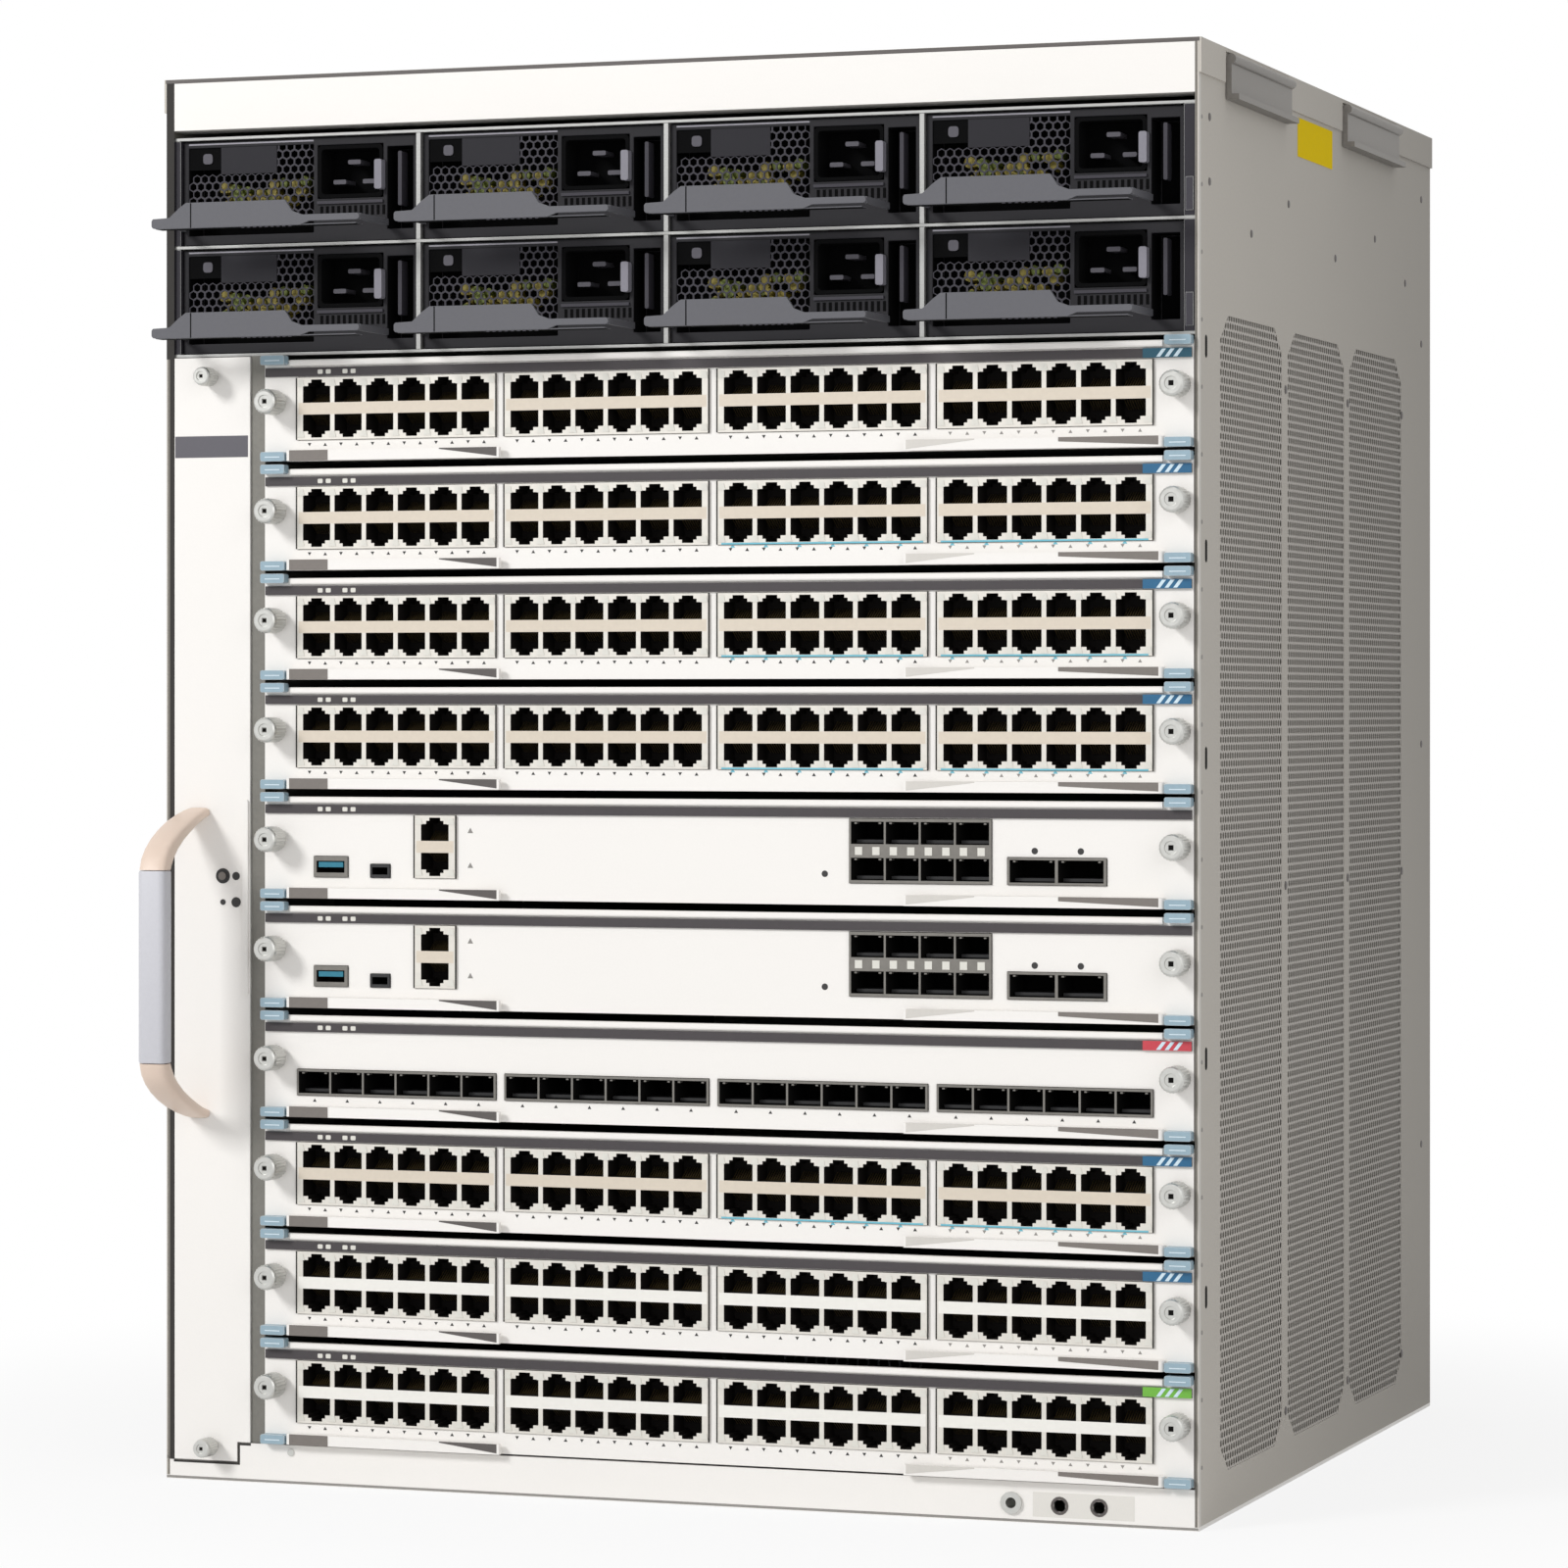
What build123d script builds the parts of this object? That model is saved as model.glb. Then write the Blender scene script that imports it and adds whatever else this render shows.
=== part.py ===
"""A thirteen-unit modular chassis switch.

Ten flat cards slide in from the front, beside an upright fan tray and under
two rows of four power supplies. Air is drawn in through the right wall and
blown out through the left one.

The frame stands on z = 0 with x to the right, y to the back and the middle of
the housing's footprint at x = y = 0. Heights inside a card are counted from
the bottom of its slot.
"""

import os

from build123d import *

os.makedirs("parts", exist_ok=True)

# Sheet thicknesses
cover_sheet = 1.0
wall_sheet = 1.5
shelf_sheet = 1.2
face_sheet = 1.5
tray_sheet = 1.2
fan_panel_sheet = 2.0

# Clearances
slide_gap = 0.4
panel_gap = 0.3
fit_gap = 0.2
turn_gap = 0.3

# Heights of the housing, from the floor up
lower_panel_height = 16.2
slot_count = 10
slot_pitch = 44.45
power_rows = 2
power_row_pitch = 44.45
header_height = 24.7

# Widths of the housing, from left to right
body_depth = 400.0
flange_width = 1.8
fan_panel_width = 34.0
post_width = 6.0
card_width = 391.8

# Perforated fields of the two side walls
vent_fields = 3
vent_spacing = 9.5
vent_front_inset = 32.0
vent_rear_inset = 58.0
vent_bottom = 18.0
vent_rise = 9.3
vent_rows = 5
vent_hole_margin = 6.0

# Holes for the rack brackets, near the front edge of each wall
rack_hole_inset = 11.0
rack_hole_first = 88.8
rack_hole_pitch = 91.9
rack_hole_count = 5
rack_hole_radius = 2.4

# Folding lift handles and the notches in the cover that clear them
handle_width = 0.24 * body_depth
handle_pitch = 0.48 * body_depth
handle_front_inset = 0.1 * body_depth
handle_drop = 20.0
handle_sheet = 2.2
handle_axis_drop = 4.0
handle_knuckle_radius = 2.0
handle_lip = 3.0
handle_notch_margin = 3.0
cover_flange_drop = 13.6

# Header and rear panel
header_gap = 3.6
header_return = 14.0
rear_rim = 22.0
rear_rim_depth = 2.0

# Cards
card_clearance = 40.0
card_depth = body_depth - card_clearance
face_bottom = 0.5
face_spacing = 2.65
face_top = slot_pitch - face_spacing
lip_height = 2.6
lip_bottom = face_top - lip_height
lip_reach = 2.0
corner_pad_width = 10.6
corner_pad_height = 3.8
corner_pad_reach = 4.5
light_bar_height = 3.6
light_bar_drop = 0.6
light_bar_bottom = lip_bottom - light_bar_drop - light_bar_height
light_bar_depth = 0.8
card_flange_height = 6.4
board_thickness = 1.6
knob_radius = 4.8
knob_length = 13.0
knob_inset = 5.6
knob_height = 24.5
edge_connector_width = 260.0
edge_connector_height = 16.0
edge_connector_depth = 9.0
heat_sink_side = 62.0
heat_sink_height = 14.0

# Jack blocks of the copper cards
gang_count = 4
gang_margin = 13.5
gang_shift = 0.75
gang_spacing = 3.7
gang_pitch = (card_width - 2 * gang_margin) / gang_count
gang_width = gang_pitch - gang_spacing
gang_inset = gang_margin - gang_shift + gang_pitch / 2
gang_depth = 24.0
gang_bottom = 9.2
gang_top_gap = 0.5
gang_height = light_bar_bottom - gang_top_gap - gang_bottom
gang_proud = 0.8
jack_columns = 6
jack_side_margin = 1.84
jack_pitch = (gang_width - 2 * jack_side_margin) / jack_columns
jack_wall = 1.9
jack_width = jack_pitch - jack_wall
jack_middle_bar = 4.8
jack_edge_bar = 0.85
jack_height = (gang_height - jack_middle_bar) / 2 - jack_edge_bar
jack_row_offset = (jack_middle_bar + jack_height) / 2
jack_depth = 12.5

# Cages of the fibre card and of the supervisors
cage_height = 10.6
cage_depth = 40.0
cage_wall = 0.9
cage_spacing = 6.4
fibre_pitch = (gang_width - cage_wall) / jack_columns
fibre_opening_width = fibre_pitch - cage_wall
fibre_opening_height = 8.8
cage_opening_depth = 22.0
uplink_columns = 4
wide_cage_columns = 2
wide_cage_pitch = 19.6
wide_opening_width = 18.4
wide_cage_right_inset = 54.8
pair_jack_inset = 75.6
pair_jack_width = 18.0
host_port_width = 15.0
host_port_height = 8.4
host_port_inset = 29.6
host_opening_width = 12.4
host_opening_height = 4.8
console_port_width = 8.6
console_port_height = 5.4
console_port_inset = 51.4
console_opening_width = 6.8
console_opening_height = 3.0
small_port_depth = 14.0

# Ejector levers
lever_height = 4.2
lever_thickness = 4.2
lever_bottom = 0.6
left_lever_length = 92.0
right_lever_length = 103.0
lever_tip_length = 14.0
lever_tip_thickness = 2.2

# Power supplies
power_columns = 4
power_divider = 2.0
power_recess = 3.0
power_bay_clearance = 55.0
power_bay_depth = body_depth - power_bay_clearance
power_plug_room = 15.0
power_depth = power_bay_depth - power_plug_room
power_height = power_row_pitch - shelf_sheet - 2.5 * panel_gap
left_column_width = 4.4
right_column_width = 4.6
mesh_left = 2.5
mesh_bottom = 4.0
mesh_top_drop = 2.5
mesh_spacing = 1.8
mesh_recess = 1.0
inlet_width = 29.1
inlet_height = 21.8
inlet_right_inset = 15.0
inlet_top_drop = 3.1
inlet_depth = 16.0
pin_width = 6.5
pin_height = 2.0
pin_length = 13.0
pin_spacing = 13.0
pin_row_height = 7.0
earth_pin_rise = 8.0
clip_width = 3.6
clip_height = 12.0
clip_reach = 4.0
pull_right_inset = 12.4
pull_reach = 30.0
pull_sheet = 1.6
pull_bottom = 4.4
pull_bar_height = 4.2
pull_tab_height = 10.4
pull_tab_left = 15.4
pull_tab_width = 44.0
pull_tab_slope = 7.5

# Fan tray
fan_rows = 3
fan_columns = 2
fan_hub_radius = 24.0
fan_blades = 5
fan_blade_width = 22.0
fan_tip_gap = 9.0
fan_wall = 4.8
fan_strut_width = 14.0
fan_strut_thickness = 3.0
fan_tray_ring = 2.0
fan_tray_clearance = 22.0
fan_tray_depth = body_depth - fan_tray_clearance
fan_panel_step_width = 28.2
fan_panel_step_bottom = 8.2
fan_screw_radius = 3.9
fan_screw_length = 11.0
fan_controller_gap = 1.7
handle_inset = 9.9
grip_width = 12.0
grip_thickness = 9.0
grip_reach = 43.0
grip_bottom = 172.8
grip_top = 251.0
grip_foot_drop = 24.8
grip_arm_thickness = 4.2

# Fittings of the lower panel
ground_hole_radius = 2.5
ground_hole_spacing = 15.88
ground_hole_right_inset = 48.7
ground_hole_height = 7.2
jack_socket_right_inset = 76.1
jack_socket_height = 7.6
jack_socket_ring = 4.4
jack_socket_barrel = 3.2
jack_socket_bore = 2.1
jack_socket_depth = 18.0

# Card rails and the backplane behind them
ledge_top = 0.2
ledge_sheet = 1.5
ledge_reach = 4.5
ledge_front_inset = 12.0
ledge_rear_inset = 18.0
web_windows = 5
web_window_margin = 50.0
web_window_spacing = 16.0
backplane_thickness = 4.0
backplane_gap = 0.5

# Places worked out from the sizes above
wall_out = cover_sheet + wall_sheet
chassis_width = (2 * wall_out + flange_width + fan_panel_width + post_width + card_width
                 + 2 * panel_gap + 2 * slide_gap)
slots_top = lower_panel_height + slot_count * slot_pitch
header_bottom = slots_top + power_rows * power_row_pitch
chassis_height = header_bottom + header_height

front = -body_depth / 2
rear = body_depth / 2
left = -chassis_width / 2
right = chassis_width / 2
wall_left = left + cover_sheet
wall_right = right - cover_sheet
inner_left = left + wall_out
inner_right = right - wall_out
fan_left = inner_left + flange_width + panel_gap
fan_right = fan_left + fan_panel_width
post_left = fan_right + panel_gap
post_right = post_left + post_width
card_left = post_right + slide_gap
card_right = card_left + card_width
card_middle = (card_left + card_right) / 2
wall_base = wall_sheet
wall_top = chassis_height - wall_sheet
backplane_front = front + card_depth + edge_connector_depth + backplane_gap
vent_pitch = (body_depth - vent_front_inset - vent_rear_inset + vent_spacing) / vent_fields
vent_width = vent_pitch - vent_spacing
vent_top = slots_top + vent_rise


def slot_bottom(slot):
    """Height of a slot's bottom, counted down from slot 1 at the top."""
    return slots_top - slot * slot_pitch


def side_wall(outer_x, inward):
    """One punched side wall, with its outer face at outer_x."""
    wall_height = wall_top - wall_base
    middle_z = (wall_top + wall_base) / 2
    vent_middle = (vent_top + vent_bottom) / 2
    vent_row_pitch = (vent_top - vent_bottom) / vent_rows
    fields_middle = front + vent_front_inset + vent_width / 2 + (vent_fields - 1) / 2 * vent_pitch
    with BuildPart() as wall:
        with BuildSketch(Plane.YZ.offset(outer_x)):
            with Locations((0, middle_z)):
                Rectangle(body_depth, wall_height)
            with Locations((fields_middle, vent_middle)):
                with GridLocations(vent_pitch, vent_row_pitch, vent_fields, vent_rows):
                    RegularPolygon(vent_width / 2 - vent_hole_margin, 6, mode=Mode.SUBTRACT)
            for hole in range(rack_hole_count):
                with Locations((front + rack_hole_inset, rack_hole_first + hole * rack_hole_pitch)):
                    RegularPolygon(rack_hole_radius, 8, mode=Mode.SUBTRACT)
        extrude(amount=inward * wall_sheet)
    return wall.part


def write(part, name):
    """Labels a finished piece and writes its STEP file."""
    part.label = name
    export_step(part, f"parts/{name}.step")


# Side walls. The left one is folded in at the front, beside the fan tray
with BuildPart() as right_side_wall:
    add(side_wall(wall_right, -1))
write(right_side_wall.part, "right_side_wall")

with BuildPart() as left_side_wall:
    add(side_wall(wall_left, 1))
    flange_bottom = fan_panel_step_bottom
    with BuildSketch(Plane.XZ.offset(-front)):
        with Locations((wall_left, flange_bottom)):
            Rectangle(wall_sheet + flange_width, slots_top - shelf_sheet - flange_bottom,
                      align=(Align.MIN, Align.MIN))
    extrude(amount=-wall_sheet)
write(left_side_wall.part, "left_side_wall")

# Top cover, a sheet with side flanges that are notched over the lift handles
with BuildPart() as top_cover:
    with BuildSketch(Plane.XZ.offset(-front)) as cover_section:
        with Locations((0, chassis_height)):
            Rectangle(chassis_width, cover_flange_drop, align=(Align.CENTER, Align.MAX))
        with Locations((0, wall_top)):
            Rectangle(chassis_width - 2 * cover_sheet, cover_flange_drop,
                      align=(Align.CENTER, Align.MAX), mode=Mode.SUBTRACT)
    extrude(amount=-body_depth)
    notch_width = handle_width + 2 * handle_notch_margin
    notch_start = front + handle_front_inset - handle_notch_margin
    for step in range(2):
        with BuildSketch(Plane.YZ.offset(left)):
            with Locations((notch_start + step * handle_pitch, wall_top)):
                Rectangle(notch_width, cover_flange_drop, align=(Align.MIN, Align.MAX))
        extrude(amount=chassis_width, mode=Mode.SUBTRACT)
write(top_cover.part, "top_cover")

# Bottom pan, folded up at the front into the lower panel
with BuildPart() as bottom_pan:
    with BuildSketch(Plane.XY):
        with Locations((wall_left, front)):
            Rectangle(wall_right - wall_left, body_depth, align=(Align.MIN, Align.MIN))
    extrude(amount=wall_base)
    step_x = fan_left + fan_panel_step_width
    with BuildSketch(Plane.XZ.offset(-front)):
        with BuildLine():
            Polyline(
                (inner_left, wall_base),
                (inner_right, wall_base),
                (inner_right, lower_panel_height - panel_gap),
                (step_x + panel_gap, lower_panel_height - panel_gap),
                (step_x + panel_gap, fan_panel_step_bottom - panel_gap),
                (inner_left, fan_panel_step_bottom - panel_gap),
                close=True,
            )
        make_face()
        with Locations((right - ground_hole_right_inset, ground_hole_height)):
            with GridLocations(ground_hole_spacing, 0, 2, 1):
                Circle(ground_hole_radius, mode=Mode.SUBTRACT)
        with Locations((right - jack_socket_right_inset, jack_socket_height)):
            RegularPolygon(jack_socket_barrel + fit_gap, 6, mode=Mode.SUBTRACT)
    extrude(amount=-wall_sheet)
write(bottom_pan.part, "bottom_pan")

# Socket for a wrist strap, in the lower panel
with BuildPart() as wrist_strap_socket:
    socket_plane = Plane.XZ.offset(-front)
    with BuildSketch(socket_plane):
        with Locations((right - jack_socket_right_inset, jack_socket_height)):
            RegularPolygon(jack_socket_ring, 12)
    extrude(amount=1.2)
    with BuildSketch(socket_plane):
        with Locations((right - jack_socket_right_inset, jack_socket_height)):
            RegularPolygon(jack_socket_barrel, 6)
    extrude(amount=-jack_socket_depth)
    with BuildSketch(socket_plane.offset(1.2)):
        with Locations((right - jack_socket_right_inset, jack_socket_height)):
            Circle(jack_socket_bore)
    extrude(amount=-jack_socket_depth + 2.0, mode=Mode.SUBTRACT)
write(wrist_strap_socket.part, "wrist_strap_socket")

# Rear panel, flat between the walls, with a pressed rim
with BuildPart() as rear_panel:
    with BuildSketch(Plane.XZ.offset(-rear)):
        with Locations((0, (wall_base + wall_top) / 2)):
            Rectangle(inner_right - inner_left, wall_top - wall_base)
    extrude(amount=wall_sheet)
    with BuildSketch(Plane.XZ.offset(-rear + wall_sheet)):
        with Locations((0, (wall_base + wall_top) / 2)):
            Rectangle(inner_right - inner_left - rear_rim, wall_top - wall_base - rear_rim)
            Rectangle(inner_right - inner_left - 2 * rear_rim, wall_top - wall_base - 2 * rear_rim,
                      mode=Mode.SUBTRACT)
    extrude(amount=rear_rim_depth)
write(rear_panel.part, "rear_panel")

# Header, a folded white band across the top of the front
with BuildPart() as header_bezel:
    header_base = header_bottom + header_gap
    with BuildSketch(Plane.YZ.offset(inner_left)):
        with BuildLine():
            Polyline(
                (front, header_base),
                (front, wall_top - fit_gap),
                (front + header_return, wall_top - fit_gap),
                (front + header_return, wall_top - fit_gap - face_sheet),
                (front + face_sheet, wall_top - fit_gap - face_sheet),
                (front + face_sheet, header_base + face_sheet),
                (front + header_return, header_base + face_sheet),
                (front + header_return, header_base),
                close=True,
            )
        make_face()
    extrude(amount=inner_right - inner_left)
write(header_bezel.part, "header_bezel")

# Power bay: full-width shelves with uprights between them, as separate sheets
power_first = inner_left + left_column_width + panel_gap
bay_width = inner_right - inner_left - left_column_width - right_column_width
power_pitch = (bay_width + power_divider) / power_columns
power_width = power_pitch - power_divider - 2 * panel_gap
bay_front = front + 1.0


def bay_upright(x, width, row):
    """One upright of the power bay, from the shelf below to the shelf above."""
    low = slots_top + row * power_row_pitch + shelf_sheet / 2
    with BuildPart() as upright:
        with BuildSketch(Plane.XY.offset(low + fit_gap / 4)):
            with Locations((x, bay_front)):
                Rectangle(width, power_bay_depth, align=(Align.MIN, Align.MIN))
        extrude(amount=power_row_pitch - shelf_sheet - fit_gap / 2)
    return upright.part


with BuildPart() as power_bay_frame:
    for level in range(power_rows + 1):
        shelf_low = slots_top + level * power_row_pitch - shelf_sheet / 2
        with BuildSketch(Plane.XY.offset(shelf_low)):
            with Locations((inner_left, bay_front)):
                Rectangle(inner_right - inner_left, power_bay_depth, align=(Align.MIN, Align.MIN))
        extrude(amount=shelf_sheet)
    for row in range(power_rows):
        add(bay_upright(inner_left, left_column_width, row))
        for column in range(1, power_columns):
            add(bay_upright(power_first + column * power_pitch - panel_gap - power_divider,
                            power_divider, row))
        add(bay_upright(inner_right - right_column_width, right_column_width, row))
write(power_bay_frame.part, "power_bay_frame")

# Card rails: the post and web beside the fan tray, and ledges at both sides
ledge_front = front + ledge_front_inset
ledge_length = card_depth - ledge_front_inset - ledge_rear_inset


def ledge(x, slot):
    """A ledge that carries one edge of a card's tray."""
    with BuildPart() as rail:
        with BuildSketch(Plane.XY.offset(slot_bottom(slot) + ledge_top)):
            with Locations((x, ledge_front)):
                Rectangle(ledge_reach, ledge_length, align=(Align.MIN, Align.MIN))
        extrude(amount=-ledge_sheet)
    return rail.part


with BuildPart() as left_card_rails:
    web_x = post_right - wall_sheet
    web_bottom = lower_panel_height
    web_top = slots_top - shelf_sheet / 2
    with BuildSketch(Plane.YZ.offset(web_x)):
        with Locations((front + 1.0, web_bottom)):
            Rectangle(backplane_front + backplane_thickness - front - 1.0, web_top - web_bottom,
                      align=(Align.MIN, Align.MIN))
        with Locations((0, (web_bottom + web_top) / 2)):
            with GridLocations(0, (web_top - web_bottom) / web_windows, 1, web_windows):
                Rectangle(card_depth - 2 * web_window_margin,
                          (web_top - web_bottom) / web_windows - web_window_spacing,
                          mode=Mode.SUBTRACT)
    extrude(amount=wall_sheet)
    with BuildSketch(Plane.XZ.offset(-front - 1.0)):
        with Locations((post_left, web_bottom)):
            Rectangle(post_width, web_top - web_bottom, align=(Align.MIN, Align.MIN))
    extrude(amount=-wall_sheet)
    for slot in range(1, slot_count + 1):
        add(ledge(post_right + fit_gap / 2, slot))
write(left_card_rails.part, "left_card_rails")

with BuildPart() as right_card_rails:
    for slot in range(1, slot_count + 1):
        add(ledge(inner_right - ledge_reach, slot))
write(right_card_rails.part, "right_card_rails")

# Backplane, an upright board behind the cards
with BuildPart() as backplane:
    with BuildSketch(Plane.XZ.offset(-backplane_front)):
        with Locations((post_right + fit_gap / 2, lower_panel_height)):
            Rectangle(inner_right - post_right - fit_gap, slots_top - shelf_sheet - lower_panel_height,
                      align=(Align.MIN, Align.MIN))
    extrude(amount=-backplane_thickness)
write(backplane.part, "backplane")


# Lift handles, each a plate that hangs from a knuckle and folds out sideways
def lift_handle(side, start_y):
    """A folding handle; side is 1 on the right wall and -1 on the left."""
    wall_x = wall_right if side > 0 else wall_left
    axis_x = wall_x + side * (turn_gap + handle_knuckle_radius)
    axis_z = chassis_height - handle_axis_drop
    inner_x = wall_x + side * turn_gap
    outer_x = inner_x + side * handle_sheet
    foot_z = axis_z - handle_drop + handle_axis_drop
    with BuildPart() as handle:
        with BuildSketch(Plane.XZ.offset(-start_y)):
            with Locations((axis_x, axis_z)):
                Circle(handle_knuckle_radius)
            with BuildLine():
                Polyline(
                    (inner_x, axis_z),
                    (outer_x, axis_z),
                    (outer_x, foot_z + handle_sheet),
                    (outer_x + side * handle_lip, foot_z + handle_sheet),
                    (outer_x + side * handle_lip, foot_z),
                    (inner_x, foot_z),
                    close=True,
                )
            make_face()
        extrude(amount=-handle_width)
    return handle.part


handle_names = {}
for side, side_name in ((1, "right"), (-1, "left")):
    for step, step_name in enumerate(("front", "rear")):
        handle_names[f"lift_handle_{side_name}_{step_name}"] = (side, step)
for name, (side, step) in handle_names.items():
    write(lift_handle(side, front + handle_front_inset + step * handle_pitch), name)

# Fan tray: its panel, and a frame that holds the fans
fan_tray_back = front + fan_tray_depth
fan_frame_bottom = lower_panel_height + 1.2
fan_frame_top = slots_top - shelf_sheet / 2 - slide_gap
fan_frame_left = inner_left + slide_gap
fan_frame_right = post_left - panel_gap
fan_middle_x = (fan_left + fan_right) / 2
fan_bank_front = front + fan_panel_sheet + fan_tray_ring + panel_gap
fan_bank_left = fan_left + 1.0
fan_bank_width = fan_panel_width - 2.0

with BuildPart() as fan_tray_frame:
    with BuildSketch(Plane.XZ.offset(-front)):
        with BuildLine():
            Polyline(
                (fan_left, fan_panel_step_bottom),
                (step_x, fan_panel_step_bottom),
                (step_x, lower_panel_height),
                (fan_right, lower_panel_height),
                (fan_right, slots_top - shelf_sheet / 2 - panel_gap),
                (fan_left, slots_top - shelf_sheet / 2 - panel_gap),
                close=True,
            )
        make_face()
    extrude(amount=-fan_panel_sheet)
    frame_middle_y = (front + fan_panel_sheet + fan_tray_back) / 2
    frame_length = fan_tray_back - front - fan_panel_sheet
    frame_middle_z = (fan_frame_bottom + fan_frame_top) / 2
    frame_height = fan_frame_top - fan_frame_bottom
    with BuildSketch(Plane.YZ.offset(fan_left)):
        with Locations((frame_middle_y, frame_middle_z)):
            Rectangle(frame_length, frame_height)
            Rectangle(frame_length - 2 * fan_tray_ring, frame_height - 2 * fan_tray_ring,
                      mode=Mode.SUBTRACT)
    extrude(amount=fan_panel_width)
write(fan_tray_frame.part, "fan_tray_frame")

# Fans, square frames with a wide throat, in columns from front to back
fan_side = (frame_height - 2 * fan_tray_ring - (fan_rows + 2) * panel_gap) / fan_rows
fan_bore_radius = fan_side / 2 - fan_wall
fan_blade_reach = fan_bore_radius - fan_tip_gap
fan_spacing = fan_side + panel_gap
fan_first_y = fan_bank_front + fan_side / 2
fan_first_z = frame_middle_z - (fan_rows - 1) / 2 * fan_spacing
fan_places = []
for row in range(fan_rows):
    for column in range(fan_columns):
        fan_places.append((fan_first_y + column * fan_spacing, fan_first_z + row * fan_spacing))

with BuildPart() as fan_bank:
    with BuildSketch(Plane.YZ.offset(fan_bank_left)):
        with Locations(*fan_places):
            Rectangle(fan_side, fan_side)
            RegularPolygon(fan_bore_radius, 8, mode=Mode.SUBTRACT)
    extrude(amount=fan_bank_width)
    with BuildSketch(Plane.YZ.offset(fan_bank_left)):
        with Locations(*fan_places):
            Rectangle(fan_side - 4.0, fan_strut_width)
    extrude(amount=fan_strut_thickness)
write(fan_bank.part, "fan_bank")

with BuildPart() as fan_rotors:
    rotor_left = fan_bank_left + fan_strut_thickness + fit_gap
    with BuildSketch(Plane.YZ.offset(rotor_left)):
        with Locations(*fan_places):
            RegularPolygon(fan_hub_radius, 2 * fan_blades)
            with PolarLocations(0, fan_blades):
                Rectangle(fan_blade_reach, fan_blade_width, align=(Align.MIN, Align.CENTER))
    extrude(amount=fan_bank_left + fan_bank_width - rotor_left - 3.0)
write(fan_rotors.part, "fan_rotors")

# Control box behind the fans, with the plug that meets the backplane
with BuildPart() as fan_controller:
    box_front = fan_bank_front + fan_columns * fan_spacing + fan_controller_gap
    box_back = fan_tray_back - fan_tray_ring - fit_gap
    with BuildSketch(Plane.YZ.offset(fan_bank_left)):
        with Locations((box_back, frame_middle_z)):
            Rectangle(box_back - box_front, frame_height - 2 * fan_tray_ring - 2 * fit_gap,
                      align=(Align.MAX, Align.CENTER))
    extrude(amount=fan_bank_width)
write(fan_controller.part, "fan_controller")


# Fan tray handle: two slim arms that sweep forward, and the grip between them
handle_x = fan_left + handle_inset


def handle_end(direction, grip_z):
    """One arm of the handle; direction is 1 for the upper arm, -1 for the lower."""
    face = front - fit_gap
    tip = front - grip_reach
    heel = tip + grip_thickness
    foot_z = grip_z + direction * grip_foot_drop
    inner_foot_z = foot_z - direction * grip_arm_thickness
    sweep_z = grip_z + direction * 0.55 * grip_foot_drop
    with BuildPart() as end:
        with BuildSketch(Plane.YZ.offset(handle_x - grip_width / 2)):
            with BuildLine():
                Line((face, foot_z), (face, inner_foot_z))
                ThreePointArc((face, inner_foot_z), ((face + heel) / 2 - 1.0, sweep_z + direction * 1.4),
                              (heel, grip_z))
                Line((heel, grip_z), (tip, grip_z))
                ThreePointArc((tip, grip_z),
                              (tip + 0.32 * grip_reach, grip_z + direction * 0.63 * grip_foot_drop),
                              (face, foot_z))
            make_face()
        extrude(amount=grip_width)
    return end.part


with BuildPart() as fan_tray_handle_ends:
    add(handle_end(1, grip_top))
    add(handle_end(-1, grip_bottom))
write(fan_tray_handle_ends.part, "fan_tray_handle_ends")

with BuildPart() as fan_tray_grip:
    with BuildSketch(Plane.XY.offset(grip_bottom + fit_gap)):
        with Locations((handle_x, front - grip_reach)):
            Rectangle(grip_width, grip_thickness, align=(Align.CENTER, Align.MIN))
    extrude(amount=grip_top - grip_bottom - 2 * fit_gap)
    chamfer(fan_tray_grip.edges().filter_by(Axis.Z), 1.8)
write(fan_tray_grip.part, "fan_tray_grip")

with BuildPart() as fan_tray_thumbscrews:
    for height in (fan_panel_step_bottom + 6.0, slots_top - 9.0):
        with BuildSketch(Plane.XZ.offset(-front + fit_gap)):
            with Locations((fan_middle_x, height)):
                RegularPolygon(fan_screw_radius, 12)
        extrude(amount=fan_screw_length)
write(fan_tray_thumbscrews.part, "fan_tray_thumbscrews")

# Power supply, drawn with its lower left front corner at the origin
inlet_left = power_width - inlet_right_inset - inlet_width
inlet_bottom = power_height - inlet_top_drop - inlet_height
mesh_width = inlet_left - mesh_spacing - mesh_left
mesh_height = power_height - mesh_top_drop - mesh_bottom
pull_width = power_width - pull_right_inset
with BuildPart() as power_can:
    with BuildSketch(Plane.XY):
        Rectangle(power_width, power_depth, align=(Align.MIN, Align.MIN))
    extrude(amount=power_height)
    with BuildSketch(Plane.XZ):
        with Locations((mesh_left, mesh_bottom)):
            Rectangle(mesh_width, mesh_height, align=(Align.MIN, Align.MIN))
    extrude(amount=-mesh_recess, mode=Mode.SUBTRACT)
    with BuildSketch(Plane.XZ):
        with Locations((inlet_left, inlet_bottom)):
            Rectangle(inlet_width, inlet_height, align=(Align.MIN, Align.MIN))
    extrude(amount=-inlet_depth, mode=Mode.SUBTRACT)

pin_x = inlet_left + inlet_width / 2
pin_z = inlet_bottom + pin_row_height
with BuildPart() as inlet_pins:
    with BuildSketch(Plane.XZ.offset(-inlet_depth + fit_gap)):
        with Locations((pin_x - pin_spacing / 2, pin_z), (pin_x + pin_spacing / 2, pin_z),
                       (pin_x, pin_z + earth_pin_rise)):
            Rectangle(pin_width, pin_height)
    extrude(amount=pin_length)

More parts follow.
